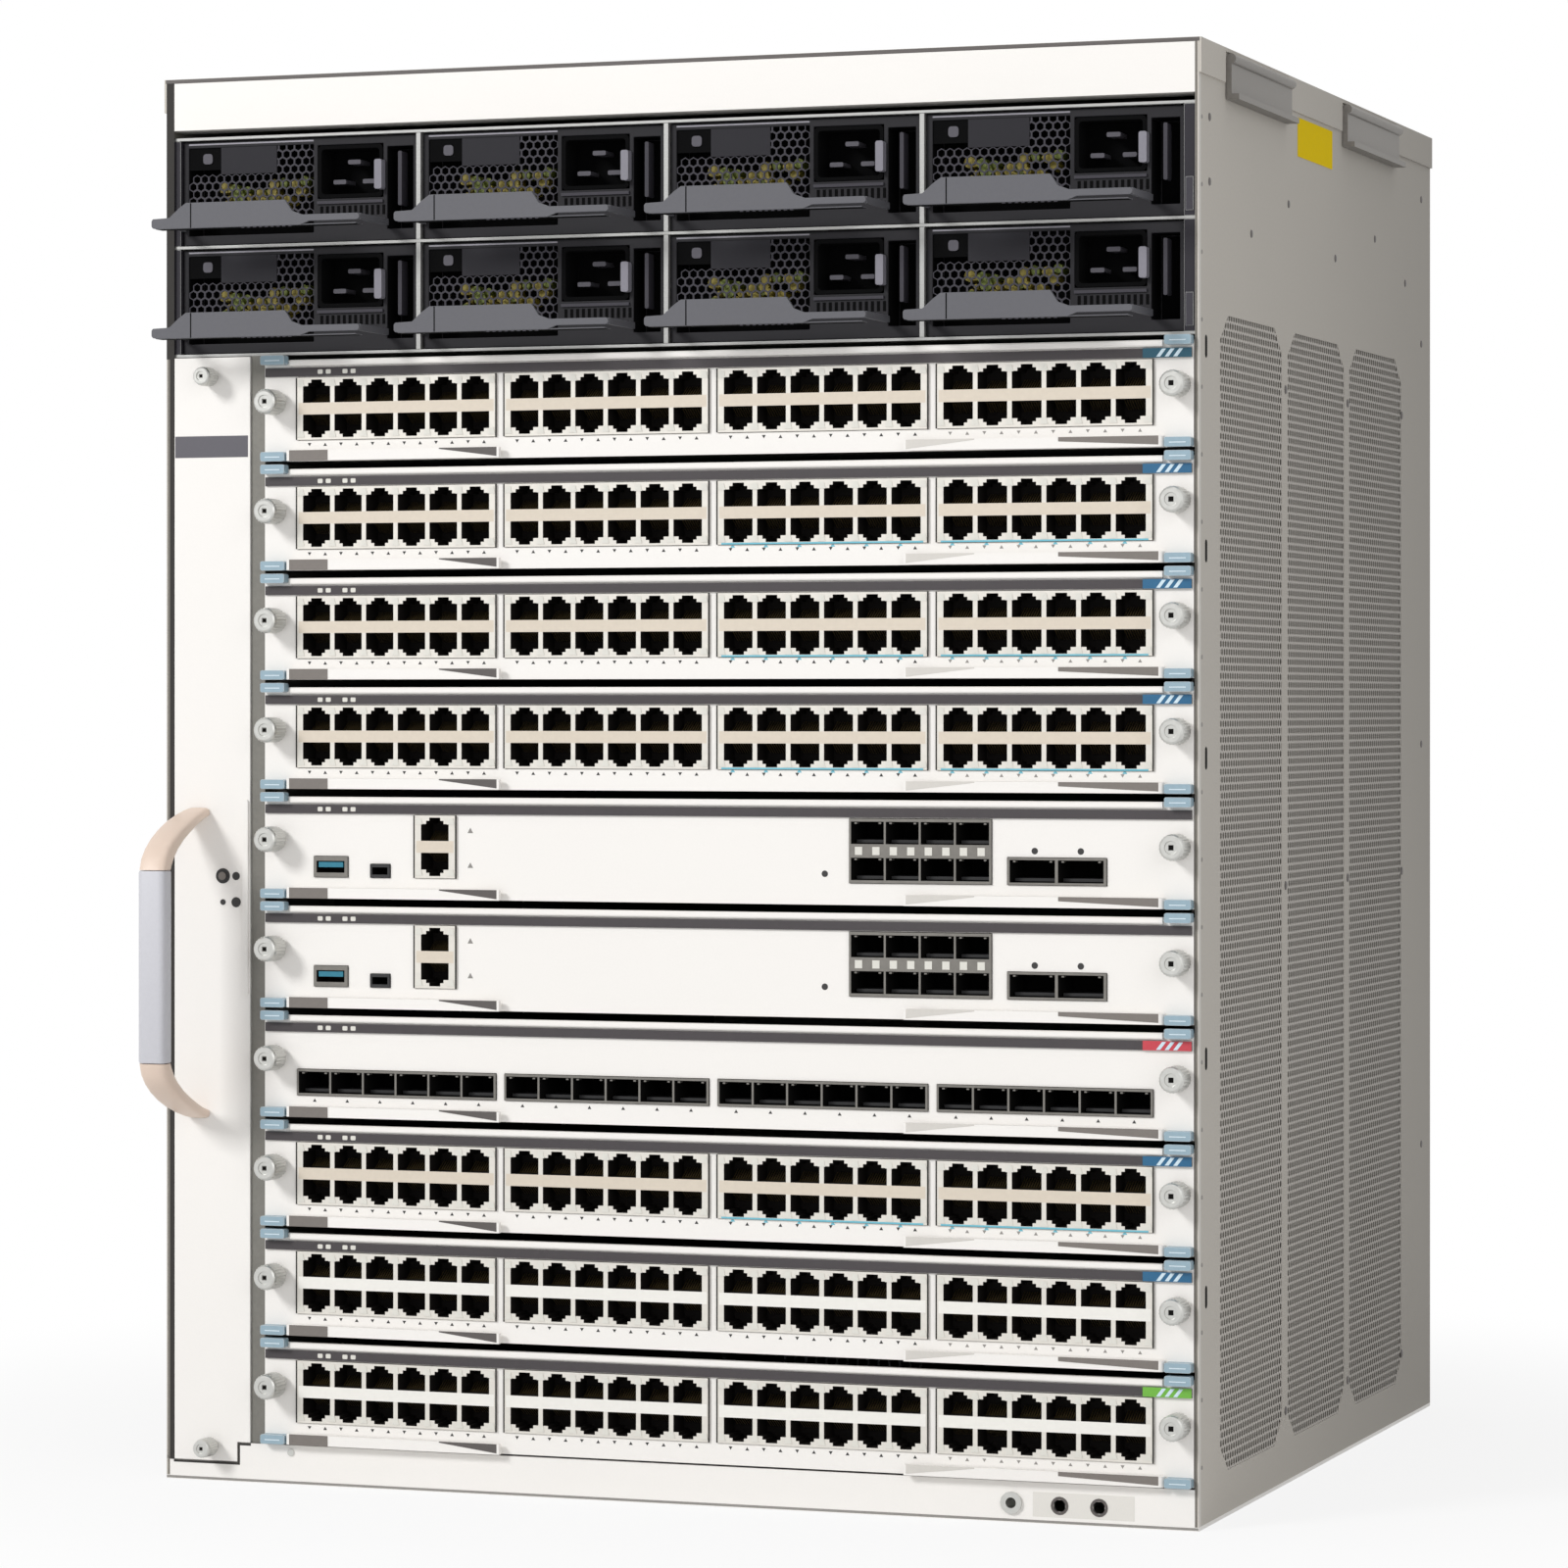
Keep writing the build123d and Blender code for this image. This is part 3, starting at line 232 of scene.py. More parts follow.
class Shape:
    """Faces gathered in millimetres, each with the name of its material."""

    def __init__(self):
        self.points, self.faces, self.finish = [], [], []

    def add(self, points, faces, finish):
        """Faces given by the numbers of their own points."""
        base = len(self.points)
        self.points += points
        self.faces += [tuple(base + i for i in face) for face in faces]
        self.finish += [finish] * len(faces)

    def prism(self, outline, axis, start, end, finish):
        """A 2-D outline pushed along an axis; the outline is (y, z), (x, z) or (x, y)."""
        count = len(outline)
        ends = []
        for along in (start, end):
            for a, b in outline:
                ends.append({"x": (along, a, b), "y": (a, along, b), "z": (a, b, along)}[axis])
        sides = [(i, (i + 1) % count, count + (i + 1) % count, count + i) for i in range(count)]
        self.add(ends, sides + [tuple(range(count)), tuple(range(count, 2 * count))], finish)

    def box(self, xs, ys, zs, finish):
        """A block between two values on each axis."""
        self.prism([(xs[0], zs[0]), (xs[1], zs[0]), (xs[1], zs[1]), (xs[0], zs[1])], "y", ys[0], ys[1], finish)

    def lathe(self, centre, axis, profile, sides, finish, caps=True, twist=0.0):
        """Rings of (radius, along) turned about an axis through centre."""
        points = []
        for radius, along in profile:
            for i in range(sides):
                a = TURN * i / sides + twist
                u, v = radius * math.cos(a), radius * math.sin(a)
                offset = {"x": (along, u, v), "y": (u, along, v), "z": (u, v, along)}[axis]
                points.append(tuple(c + o for c, o in zip(centre, offset)))
        faces = []
        for ring in range(len(profile) - 1):
            for i in range(sides):
                j = (i + 1) % sides
                faces.append((ring * sides + i, ring * sides + j, (ring + 1) * sides + j,
                              (ring + 1) * sides + i))
        if caps:
            faces += [tuple(range(sides)), tuple(range((len(profile) - 1) * sides, len(profile) * sides))]
        self.add(points, faces, finish)

    def plate(self, xs, zs, holes, front, depth, finish, wall=None, floor=None, bands=()):
        """A plate across y with rectangular holes, drawn on a grid that has no T joints.

        A hole is (x0, x1, z0, z1). With a floor the holes are pockets of that
        finish; otherwise the plate is cut right through. bands recolour the
        front where a cell's middle lies in (x0, x1, z0, z1, finish).
        """
        cuts_x = sorted({round(v, 4) for h in holes for v in h[:2]} | set(xs)
                        | {round(v, 4) for b in bands for v in b[:2]})
        cuts_z = sorted({round(v, 4) for h in holes for v in h[2:]} | set(zs)
                        | {round(v, 4) for b in bands for v in b[2:4]})
        cuts_x = [v for v in cuts_x if xs[0] <= v <= xs[1]]
        cuts_z = [v for v in cuts_z if zs[0] <= v <= zs[1]]

        def inside(x, z, rects):
            return next((r for r in rects if r[0] < x < r[1] and r[2] < z < r[3]), None)

        back = front + depth
        open_cell = {}
        for i in range(len(cuts_x) - 1):
            for k in range(len(cuts_z) - 1):
                mid = ((cuts_x[i] + cuts_x[i + 1]) / 2, (cuts_z[k] + cuts_z[k + 1]) / 2)
                open_cell[i, k] = bool(inside(*mid, holes))
        for (i, k), is_open in open_cell.items():
            x0, x1, z0, z1 = cuts_x[i], cuts_x[i + 1], cuts_z[k], cuts_z[k + 1]
            face = [(x0, 0, z0), (x1, 0, z0), (x1, 0, z1), (x0, 0, z1)]
            if is_open:
                if floor:
                    self.add([(x, back, z) for x, _, z in face], [(0, 1, 2, 3)], floor)
            else:
                band = inside((x0 + x1) / 2, (z0 + z1) / 2, bands)
                self.add([(x, front, z) for x, _, z in face], [(0, 1, 2, 3)], band[4] if band else finish)
                if not floor:
                    self.add([(x, back, z) for x, _, z in face], [(3, 2, 1, 0)], finish)
            edges = (((i - 1, k), (x0, z0), (x0, z1)), ((i + 1, k), (x1, z1), (x1, z0)),
                     ((i, k - 1), (x1, z0), (x0, z0)), ((i, k + 1), (x0, z1), (x1, z1)))
            for cell, a, b in edges:
                outside = cell not in open_cell
                if not is_open and (outside or open_cell[cell]):
                    side = finish if outside else (wall or finish)
                    self.add([(a[0], front, a[1]), (b[0], front, b[1]), (b[0], back, b[1]), (a[0], back, a[1])],
                             [(0, 1, 2, 3)], side)

    def mesh(self, name, bevel=0.0, merge=True, smooth=False):
        """The finished mesh in metres, with its sharp edges rounded by bevel millimetres."""
        mesh = bpy.data.meshes.new(name)
        mesh.from_pydata(self.points, [], self.faces)
        used = list(dict.fromkeys(self.finish))
        for finish in used:
            mesh.materials.append(MAT[finish])
        mesh.polygons.foreach_set("material_index", [used.index(f) for f in self.finish])
        work = bmesh.new()
        work.from_mesh(mesh)
        if merge:
            bmesh.ops.remove_doubles(work, verts=work.verts, dist=1e-4)
            bmesh.ops.recalc_face_normals(work, faces=work.faces)
        if bevel:
            sharp = [e for e in work.edges if len(e.link_faces) == 2 and e.calc_face_angle(0) > 0.6]
            bmesh.ops.bevel(work, geom=sharp, offset=bevel, segments=2, profile=0.5, affect="EDGES",
                            clamp_overlap=True)
        bmesh.ops.scale(work, vec=(MM, MM, MM), verts=work.verts)
        work.to_mesh(mesh)
        work.free()
        if smooth:
            mesh.shade_smooth()
            mesh.set_sharp_from_angle(angle=math.radians(40))
        return mesh


def piece(name, mesh, body, at=(0, 0, 0), replaces=(), turn=0.0):
    """An object of that mesh, placed in millimetres, riding on a CAD body."""
    thing = bpy.data.objects.new(name, mesh)
    bpy.context.scene.collection.objects.link(thing)
    thing.location = Vector(at) * MM
    thing.rotation_euler.z = turn
    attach(thing, body)
    if replaces:
        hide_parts(*replaces)
    return thing


def dress(node, finish, bevel=0.0):
    """A CAD node keeps its shape and gets a finish and softened edges."""
    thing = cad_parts[node]
    thing.data.materials.clear()
    thing.data.materials.append(MAT[finish])
    if bevel:
        soften = thing.modifiers.new("soften", "BEVEL")
        soften.width = bevel * MM
        soften.segments = 2
        soften.limit_method = "ANGLE"
        soften.angle_limit = math.radians(40)


def rounded(x0, x1, z0, z1, radius, steps=4):
    """A rectangle's outline with rounded corners."""
    outline = []
    for cx, cz, start in ((x1 - radius, z1 - radius, 0), (x0 + radius, z1 - radius, 1),
                          (x0 + radius, z0 + radius, 2), (x1 - radius, z0 + radius, 3)):
        for i in range(steps + 1):
            a = (start + i / steps) * math.pi / 2
            outline.append((cx + radius * math.cos(a), cz + radius * math.sin(a)))
    return outline


def hex_cells(inside, low, high, pitch):
    """Centres of a staggered lattice within a box where inside(a, b) holds."""
    row_pitch = pitch * math.sqrt(3) / 2
    centres = []
    for row in range(int((high[1] - low[1]) / row_pitch) + 2):
        for column in range(int((high[0] - low[0]) / pitch) + 2):
            a = low[0] + (column + 0.5 * (row % 2)) * pitch
            b = low[1] + row * row_pitch
            if inside(a, b):
                centres.append((a, b))
    return centres


def perforate(shape, centres, pitch, hole, place, finish, wall):
    """Six-sided rings round staggered holes; place(a, b, depth) gives a point."""
    outer = pitch / math.sqrt(3)
    for a, b in centres:
        points = []
        for radius, depth in ((outer, 0), (hole, 0), (hole, 1)):
            for i in range(6):
                angle = TURN * (i + 0.5) / 6
                points.append(place(a + radius * math.cos(angle), b + radius * math.sin(angle), depth))
        ring = [(i, (i + 1) % 6, 6 + (i + 1) % 6, 6 + i) for i in range(6)]
        tube = [(6 + i, 6 + (i + 1) % 6, 12 + (i + 1) % 6, 12 + i) for i in range(6)]
        shape.add(points if wall else points[:12], ring, finish)
        if wall:
            shape.add(points, tube, wall)


# ---- Cards -----------------------------------------------------------------

def jack_holes(x, z, way):
    """A jack's stepped opening; way is 1 with the latch notch on top, -1 below."""
    steps = ((JACK_WIDTH, -4.7, 2.1), (7.6, 2.1, 3.4), (4.8, 3.4, 4.7))
    holes = []
    for width, low, high in steps:
        ends = sorted((z + way * low, z + way * high))
        holes.append((x - width / 2, x + width / 2, ends[0], ends[1]))
    return holes


def add_contacts(shape, x, z, way):
    """Eight thin sprung contacts inside a jack."""
    base = z - way * 4.4
    for i in range(8):
        cx = x + (i - 3.5) * 1.02
        shape.add([(cx - 0.2, FRONT + 3.0, base), (cx + 0.2, FRONT + 3.0, base),
                   (cx + 0.2, FRONT + 9.0, base + way * 3.6), (cx - 0.2, FRONT + 9.0, base + way * 3.6)],
                  [(0, 1, 2, 3)], "gold")


def add_jack_gang(shape, centre_x, columns, width, bar="beige"):
    """A shielded block with two rows of jacks."""
    middle = GANG_BOTTOM + GANG_HEIGHT / 2
    left, right = centre_x - width / 2, centre_x + width / 2
    holes = []
    for column in range(columns):
        x = centre_x + (column - (columns - 1) / 2) * JACK_PITCH
        for way in (1, -1):
            holes += jack_holes(x, middle + way * JACK_ROW, way)
            add_contacts(shape, x, middle + way * JACK_ROW, way)
    bands = [(left + 0.8, right - 0.8, middle - 2.4, middle + 2.4, bar)]
    shape.plate((left, right), (GANG_BOTTOM, GANG_BOTTOM + GANG_HEIGHT), holes, FRONT - PROUD, 12.5, "shield",
                wall="jack", floor="jack", bands=bands)
    for column in range(columns + 1):
        x = centre_x + (column - columns / 2) * JACK_PITCH
        for low in (GANG_BOTTOM + 1.0, GANG_BOTTOM + GANG_HEIGHT - 3.6):
            shape.prism([(x - 1.6, low), (x + 1.6, low), (x + 1.0, low + 2.6), (x - 1.0, low + 2.6)], "y",
                        FRONT - 1.05, FRONT - PROUD, "led_off")
    # Dark strips along the block's left and right edges: painted shadow outlines.
    for x in (left - 0.1, right + 0.1):
        shape.box((x - 0.3, x + 0.3), (FRONT - 0.86, FRONT - PROUD), (GANG_BOTTOM, GANG_BOTTOM + GANG_HEIGHT),
                  "edge")


def add_cages(shape, centre_x, columns, pitch, rows, width, height, opening, divider):
    """Transceiver cages with pockets behind thin steel walls, their sides and floors painted near-black as
    shade.
    """
    left, right = centre_x - width / 2, centre_x + width / 2
    holes = []
    for row_z in rows:
        for column in range(columns):
            x = centre_x + (column - (columns - 1) / 2) * pitch
            holes.append((x - opening[0] / 2, x + opening[0] / 2, row_z - opening[1] / 2,
                          row_z + opening[1] / 2))
    # The pockets' sides and floors are painted near-black: painted shade inside the cages.
    shape.plate((left, right), (GANG_BOTTOM, GANG_BOTTOM + height), holes, FRONT - PROUD, CAGE_DEPTH, divider,
                wall="hollow_shade", floor="hollow_shade")
    for x0, x1, z0, z1 in holes:
        shape.box((x0 + 0.8, x1 - 0.8), (FRONT + 4, FRONT + 20), (z0 + 0.4, z0 + 1.6), "chip")
        spring_y = FRONT - 0.3
        for x in (x0 + 1.8, x1 - 1.8):
            shape.box((x - 0.5, x + 0.5), (spring_y, spring_y + 3), (z1 - 0.9, z1 - 0.3), "cage")


def add_knob(shape, x, z, start, length, radius, socket=0.5):
    """A captive screw: collar, knurled barrel, bright rim and a square socket painted near-black as shade."""
    y0, y1 = start, start - length
    shape.lathe((x, 0, z), "y", [(radius * 0.72, y0), (radius * 0.72, y0 - 2.2)], 24, "nickel")
    ribs = []
    for i in range(48):
        a = TURN * i / 48
        r = radius if i % 2 else radius * 0.95
        ribs.append((x + r * math.cos(a), z + r * math.sin(a)))
    shape.prism(ribs, "y", y0 - 2.2, y1 + 1.6, "nickel")
    shape.lathe((x, 0, z), "y", [(radius * 0.97, y1 + 1.6), (radius * 0.9, y1 + 0.5), (radius * 0.78, y1),
                                 (radius * 0.5, y1), (radius * 0.46, y1 + 0.5)], 32, "nickel", caps=False)
    shape.lathe((x, 0, z), "y", [(radius * 0.5, y1 + 0.5), (radius * 0.27, y1 + 0.5),
                                 (radius * 0.27, y1 + 2.4)], 4, "nickel", caps=False, twist=TURN / 8)
    shape.lathe((x, 0, z), "y", [(radius * 0.5, y1 + 0.45), (radius * 0.28, y1 + 0.45)], 32, "nickel",
                caps=False)
    half = radius * 0.24 * socket
    shape.box((x - radius * 0.24, x + radius * 0.24), (y1 + 0.9, y1 + 1.0),
              (z - radius * 0.24, z + radius * 0.24), "post")
    # The socket's hollow, painted near-black as shade.
    shape.box((x - half, x + half), (y1 + 0.4, y1 + 1.0), (z - half, z + half), "hollow_shade")


def card_shell(name, windows):
    """Face, rolled lip, tray and corner pads of a card, with rounded edges."""
    shape = Shape()
    holes = [(x - w / 2 - 0.2, x + w / 2 + 0.2, z - h / 2 - 0.2, z + h / 2 + 0.2) for x, z, w, h in windows]
    shape.plate((CARD_LEFT, CARD_RIGHT), (0.5, 41.8), holes, FRONT, 1.5, "white")
    lip = [(FRONT - 2.0, 39.8), (FRONT - 1.6, 39.3), (FRONT, 39.2), (FRONT, 41.8), (FRONT - 1.4, 41.8),
           (FRONT - 2.0, 41.2)]
    shape.prism(lip, "x", CARD_LEFT + 12.0, CARD_RIGHT - 12.0, "white")
    tray = [(CARD_LEFT + 0.2, 0.5), (CARD_RIGHT - 0.2, 0.5), (CARD_RIGHT - 0.2, 6.4), (CARD_RIGHT - 1.4, 6.4),
            (CARD_RIGHT - 1.4, 1.7), (CARD_LEFT + 1.4, 1.7), (CARD_LEFT + 1.4, 6.4), (CARD_LEFT + 0.2, 6.4)]
    shape.prism(tray, "y", FRONT + 1.5, CARD_BACK, "zinc")
    for x in (CARD_LEFT, CARD_RIGHT - 10.6):
        for z in (0.5, 39.8):
            shape.prism(rounded(x, x + 10.6, z, z + 3.8, 0.7, 2), "y", FRONT - 4.6, FRONT, "pad")
            shape.box((x + 2.0, x + 8.6), (FRONT - 4.7, FRONT - 4.6), (z + 1.5, z + 1.9), "tag_stripe")
    return shape.mesh(name, bevel=0.25)


def card_fittings(shape):
    """Light bar, knobs and the board behind a card's face."""
    bar_left, bar_right = CARD_LEFT + 0.6, CARD_RIGHT - 0.6
    shape.box((bar_left, bar_right), (FRONT - 0.9, FRONT - 0.1), (35.0, 38.6), "strip")
    for group in (0, 11):
        for i in range(2):
            x = CARD_LEFT + 24.0 + group + i * 3.6
            shape.prism(rounded(x, x + 2.2, 35.9, 37.7, 0.4, 2), "y", FRONT - 1.0, FRONT - 0.9, "led_off")
    for x in (CARD_LEFT + 5.6, CARD_RIGHT - 5.6):
        add_knob(shape, x, 24.5, FRONT - 0.2, 13.0, 5.2, 0.5 if x < 0 else 0.8)
    shape.box((CARD_LEFT + 0.2, CARD_RIGHT - 0.2), (FRONT + 2.5, CARD_BACK - 0.5), (7.5, 9.1), "board")
    shape.box((CARD_MIDDLE - 130, CARD_MIDDLE + 130), (CARD_BACK - 9, CARD_BACK + 9), (9.2, 25.2), "plug")
    # Holes in the back of the connector, painted as near-black patches of shade.
    for row in range(3):
        for column in range(64):
            x = CARD_MIDDLE - 126 + column * 4
            shape.box((x - 0.8, x + 0.8), (CARD_BACK + 9, CARD_BACK + 9.1),
                      (11.5 + row * 4.5, 13.5 + row * 4.5),
                      "hollow_shade")
    add_heat_sink(shape, CARD_MIDDLE, 0, 62, 14)
    for x, y, w, d in ((-120, -80, 24, 24), (-60, -80, 24, 24), (60, -80, 24, 24), (120, -80, 24, 24),
                       (-130, 30, 34, 20), (135, 30, 34, 20), (-90, 90, 18, 18), (100, 90, 18, 18)):
        cx = CARD_MIDDLE + x
        shape.box((cx - w / 2, cx + w / 2), (y - d / 2, y + d / 2), (9.1, 11.4), "chip")
    for i in range(36):
        x, y = CARD_LEFT + 14 + rng.random() * 364, -150 + rng.random() * 290
        if abs(x - CARD_MIDDLE) > 40 or abs(y) > 40:
            shape.lathe((x, y, 9.1), "z", [(2.4, 0), (2.4, 5.0), (2.0, 5.4)], 10, "heat" if i % 2 else "chip")


def add_heat_sink(shape, x, y, side, height):
    """A square base with upright fins that run from front to back."""
    half = side / 2
    shape.box((x - half, x + half), (y - half, y + half), (9.2, 12.2), "heat")
    fins = 14
    for i in range(fins):
        fx = x - half + 0.6 + i * (side - 1.2) / (fins - 1)
        shape.box((fx - 0.6, fx + 0.6), (y - half, y + half), (12.2, 9.2 + height), "heat")


def add_port_marks(shape, underlined):
    """Small printed arrows under each pair of jacks, and a coloured line under some gangs."""
    for index, gang in enumerate(GANG_PLACES):
        for column in range(12):
            x = gang + (column - 5.5) * JACK_PITCH / 2
            if column % 2:
                outline = [(x - 0.8, 6.6), (x + 0.8, 6.6), (x, 7.9)]
            else:
                outline = [(x - 0.8, 7.9), (x, 6.6), (x + 0.8, 7.9)]
            shape.prism(outline, "y", FRONT - INK, FRONT, "ink_dark" if index < 3 else "ink")
        if underlined and index in (2, 3):
            shape.box((gang - 42, gang + 42), (FRONT - 0.9, FRONT - PROUD), (GANG_BOTTOM, GANG_BOTTOM + 0.7),
                      "cyan")
            for column in range(6):
                x = gang + (column - 2.5) * JACK_PITCH
                shape.prism([(x - 3.6, 8.0), (x - 1.6, 8.0), (x - 2.2, 8.9), (x - 3.0, 8.9)], "y", FRONT - INK,
                            FRONT, "cyan")


def tag_mesh(finish):
    """A colour tag at the right end of the light bar, with slanting pale stripes."""
    shape = Shape()
    x0, x1 = CARD_RIGHT - 20.0, CARD_RIGHT - 0.6
    shape.box((x0, x1), (FRONT - 1.5, FRONT - 0.95), (35.0, 38.7), finish)
    for i in range(3):
        x = x0 + 5.4 + i * 3.4
        shape.prism([(x, 35.3), (x + 1.6, 35.3), (x + 4.0, 38.4), (x + 2.4, 38.4)], "y", FRONT - 1.6,
                    FRONT - 1.5,
                    "tag_stripe")
    return shape.mesh(f"tag_{finish}")


tall_middle = GANG_BOTTOM + GANG_HEIGHT / 2
low_middle = GANG_BOTTOM + CAGE_HEIGHT / 2

copper_windows = [(x, tall_middle, GANG_WIDTH, GANG_HEIGHT) for x in GANG_PLACES]
fibre_windows = [(x, low_middle, GANG_WIDTH, CAGE_HEIGHT) for x in GANG_PLACES]
host = (CARD_LEFT + 29.6, GANG_BOTTOM + 4.2, 15.0, 8.4)
console = (CARD_LEFT + 51.4, GANG_BOTTOM + 2.7, 8.6, 5.4)
pair = (CARD_LEFT + 75.6, tall_middle, 18.0, GANG_HEIGHT)
uplink = (CARD_LEFT + 281.3, tall_middle, 58.5, GANG_HEIGHT)
wide = (CARD_LEFT + 337.0, low_middle, 40.1, CAGE_HEIGHT)

shells = {
    "copper": card_shell("copper_shell", copper_windows),
    "fibre": card_shell("fibre_shell", fibre_windows),
    "supervisor": card_shell("supervisor_shell", [host, console, pair, uplink, wide]),
}
insides = {}
for kind in ("copper_plain", "copper_lined", "copper_white"):
    ports = Shape()
    for gang in GANG_PLACES:
        add_jack_gang(ports, gang, 6, GANG_WIDTH, "bar_white" if kind == "copper_white" else "beige")
    add_port_marks(ports, kind == "copper_lined")
    card_fittings(ports)
    insides[kind] = ports.mesh(kind, merge=False)

ports = Shape()
for gang in GANG_PLACES:
    add_cages(ports, gang, 6, FIBRE_PITCH, [low_middle], GANG_WIDTH, CAGE_HEIGHT, CAGE_OPENING, "cage")
    for column in range(6):
        mark_x = gang + (column - 2.5) * FIBRE_PITCH
        ports.prism([(mark_x - 0.8, 6.6), (mark_x + 0.8, 6.6), (mark_x, 7.9)], "y", FRONT - INK, FRONT,
                    "ink_dark")
card_fittings(ports)
insides["fibre"] = ports.mesh("fibre_ports", merge=False)

ports = Shape()
add_jack_gang(ports, pair[0], 1, 18.0)
ports.plate((host[0] - 7.5, host[0] + 7.5), (GANG_BOTTOM, GANG_BOTTOM + 8.4),
            [(host[0] - 6.2, host[0] + 6.2, host[1] - 2.4, host[1] + 2.4)], FRONT - PROUD, 11.0, "cage",
            wall="jack", floor="jack")
ports.box((host[0] - 5.4, host[0] + 5.4), (FRONT - 0.4, FRONT + 9), (host[1] - 0.2, host[1] + 1.9), "usb")
# The console port's pocket walls and floor are painted near-black as shade.
ports.plate((console[0] - 4.3, console[0] + 4.3), (GANG_BOTTOM, GANG_BOTTOM + 5.4),
            [(console[0] - 3.4, console[0] + 3.4, console[1] - 1.5, console[1] + 1.5)], FRONT - PROUD, 11.0,
            "chip",
            wall="hollow_shade", floor="hollow_shade")
add_cages(ports, uplink[0], 4, UPLINK_PITCH, [tall_middle - JACK_ROW, tall_middle + JACK_ROW], uplink[2],
          GANG_HEIGHT,
          CAGE_OPENING, "cage")
for column in range(4):
    light_x = uplink[0] + (column - 1.5) * UPLINK_PITCH
    for shift in (-3.6, 3.6):
        ports.box((light_x + shift - 1.5, light_x + shift + 1.5), (FRONT - 1.0, FRONT - PROUD),
                  (tall_middle - 1.6, tall_middle + 1.6), "led_off")
add_cages(ports, wide[0], 2, 19.6, [low_middle], wide[2], CAGE_HEIGHT, (18.4, 8.8), "cage")
for led_x, led_z in ((wide[0] - 9.0, 22.4), (wide[0] + 9.6, 22.4), (uplink[0] - 39.5, 12.7)):
    ports.lathe((led_x, 0, led_z), "y", [(1.3, FRONT - 0.08), (1.3, FRONT)], 16, "ink_dark")
for mark_z in (28.5, 14.5):
    ports.prism([(pair[0] + 14.0, mark_z - 1.0), (pair[0] + 16.4, mark_z - 1.0),
                 (pair[0] + 15.2, mark_z + 1.2)],
                "y", FRONT - INK, FRONT, "ink")
card_fittings(ports)
insides["supervisor"] = ports.mesh("supervisor_ports", merge=False)

tags = {finish: tag_mesh(finish) for finish in ("tag_teal", "tag_blue", "tag_red", "tag_green")}
slot_tags = {1: "tag_teal", 2: "tag_blue", 3: "tag_blue", 4: "tag_blue", 7: "tag_red", 8: "tag_blue",
             9: "tag_blue", 10: "tag_green"}
lined = (2, 3, 4, 8)
for slot in range(1, 11):
    kind = "supervisor" if slot in (5, 6) else "fibre" if slot == 7 else "copper"
    node = f"supervisor_{slot}" if kind == "supervisor" else f"line_card_{slot}"
    at = (0, 0, slot_bottom(slot))
    piece(f"card_{slot}_shell", shells[kind], node, at, [node])
    look = "copper_lined" if slot in lined else "copper_white" if slot > 8 else "copper_plain"
    ports_kind = look if kind == "copper" else kind
    piece(f"card_{slot}_ports", insides[ports_kind], node, at)
    if slot in slot_tags:
        piece(f"card_{slot}_tag", tags[slot_tags[slot]], node, at)
    for end, pivot, way in (("left", CARD_LEFT + 13.0, 1), ("right", CARD_RIGHT - 13.0, -1)):
        dress(f"ejector_{slot}_{end}", "white", 0.35)
        lever_root_and_shade_wedges = Shape()
        # Each lever gets its own grey root strip and painted shade on its tapered tip: a dark grey wedge on the
        # left lever, a pale grey wedge on the right one.
        marks = [(-0.1, 17.0, "root", 0.55, 0.55), (66.0, 91.0, "tip", 4.4, 1.2)]
        if way < 0:
            marks = [(-0.1, 40.0, "root", 1.4, 3.2), (74.0, 102.0, "wall_edge", 4.4, 1.2)]
        for start, stop, finish, low_near, low_far in marks:
            low = [(0.0, low_near), (1.0, low_far)]
            outline = [(pivot + way * (start + (stop - start) * t), z) for t,
                       z in low + [(1.0, 4.85), (0.0, 4.85)]]
            lever_root_and_shade_wedges.prism(outline, "y", FRONT - 4.62, FRONT - 4.4, finish)
        piece(f"ejector_{slot}_{end}_grip", lever_root_and_shade_wedges.mesh(f"ejector_{end}_grip"), f"ejector_{slot}_{end}",
              at)


# ---- Power supplies --------------------------------------------------------

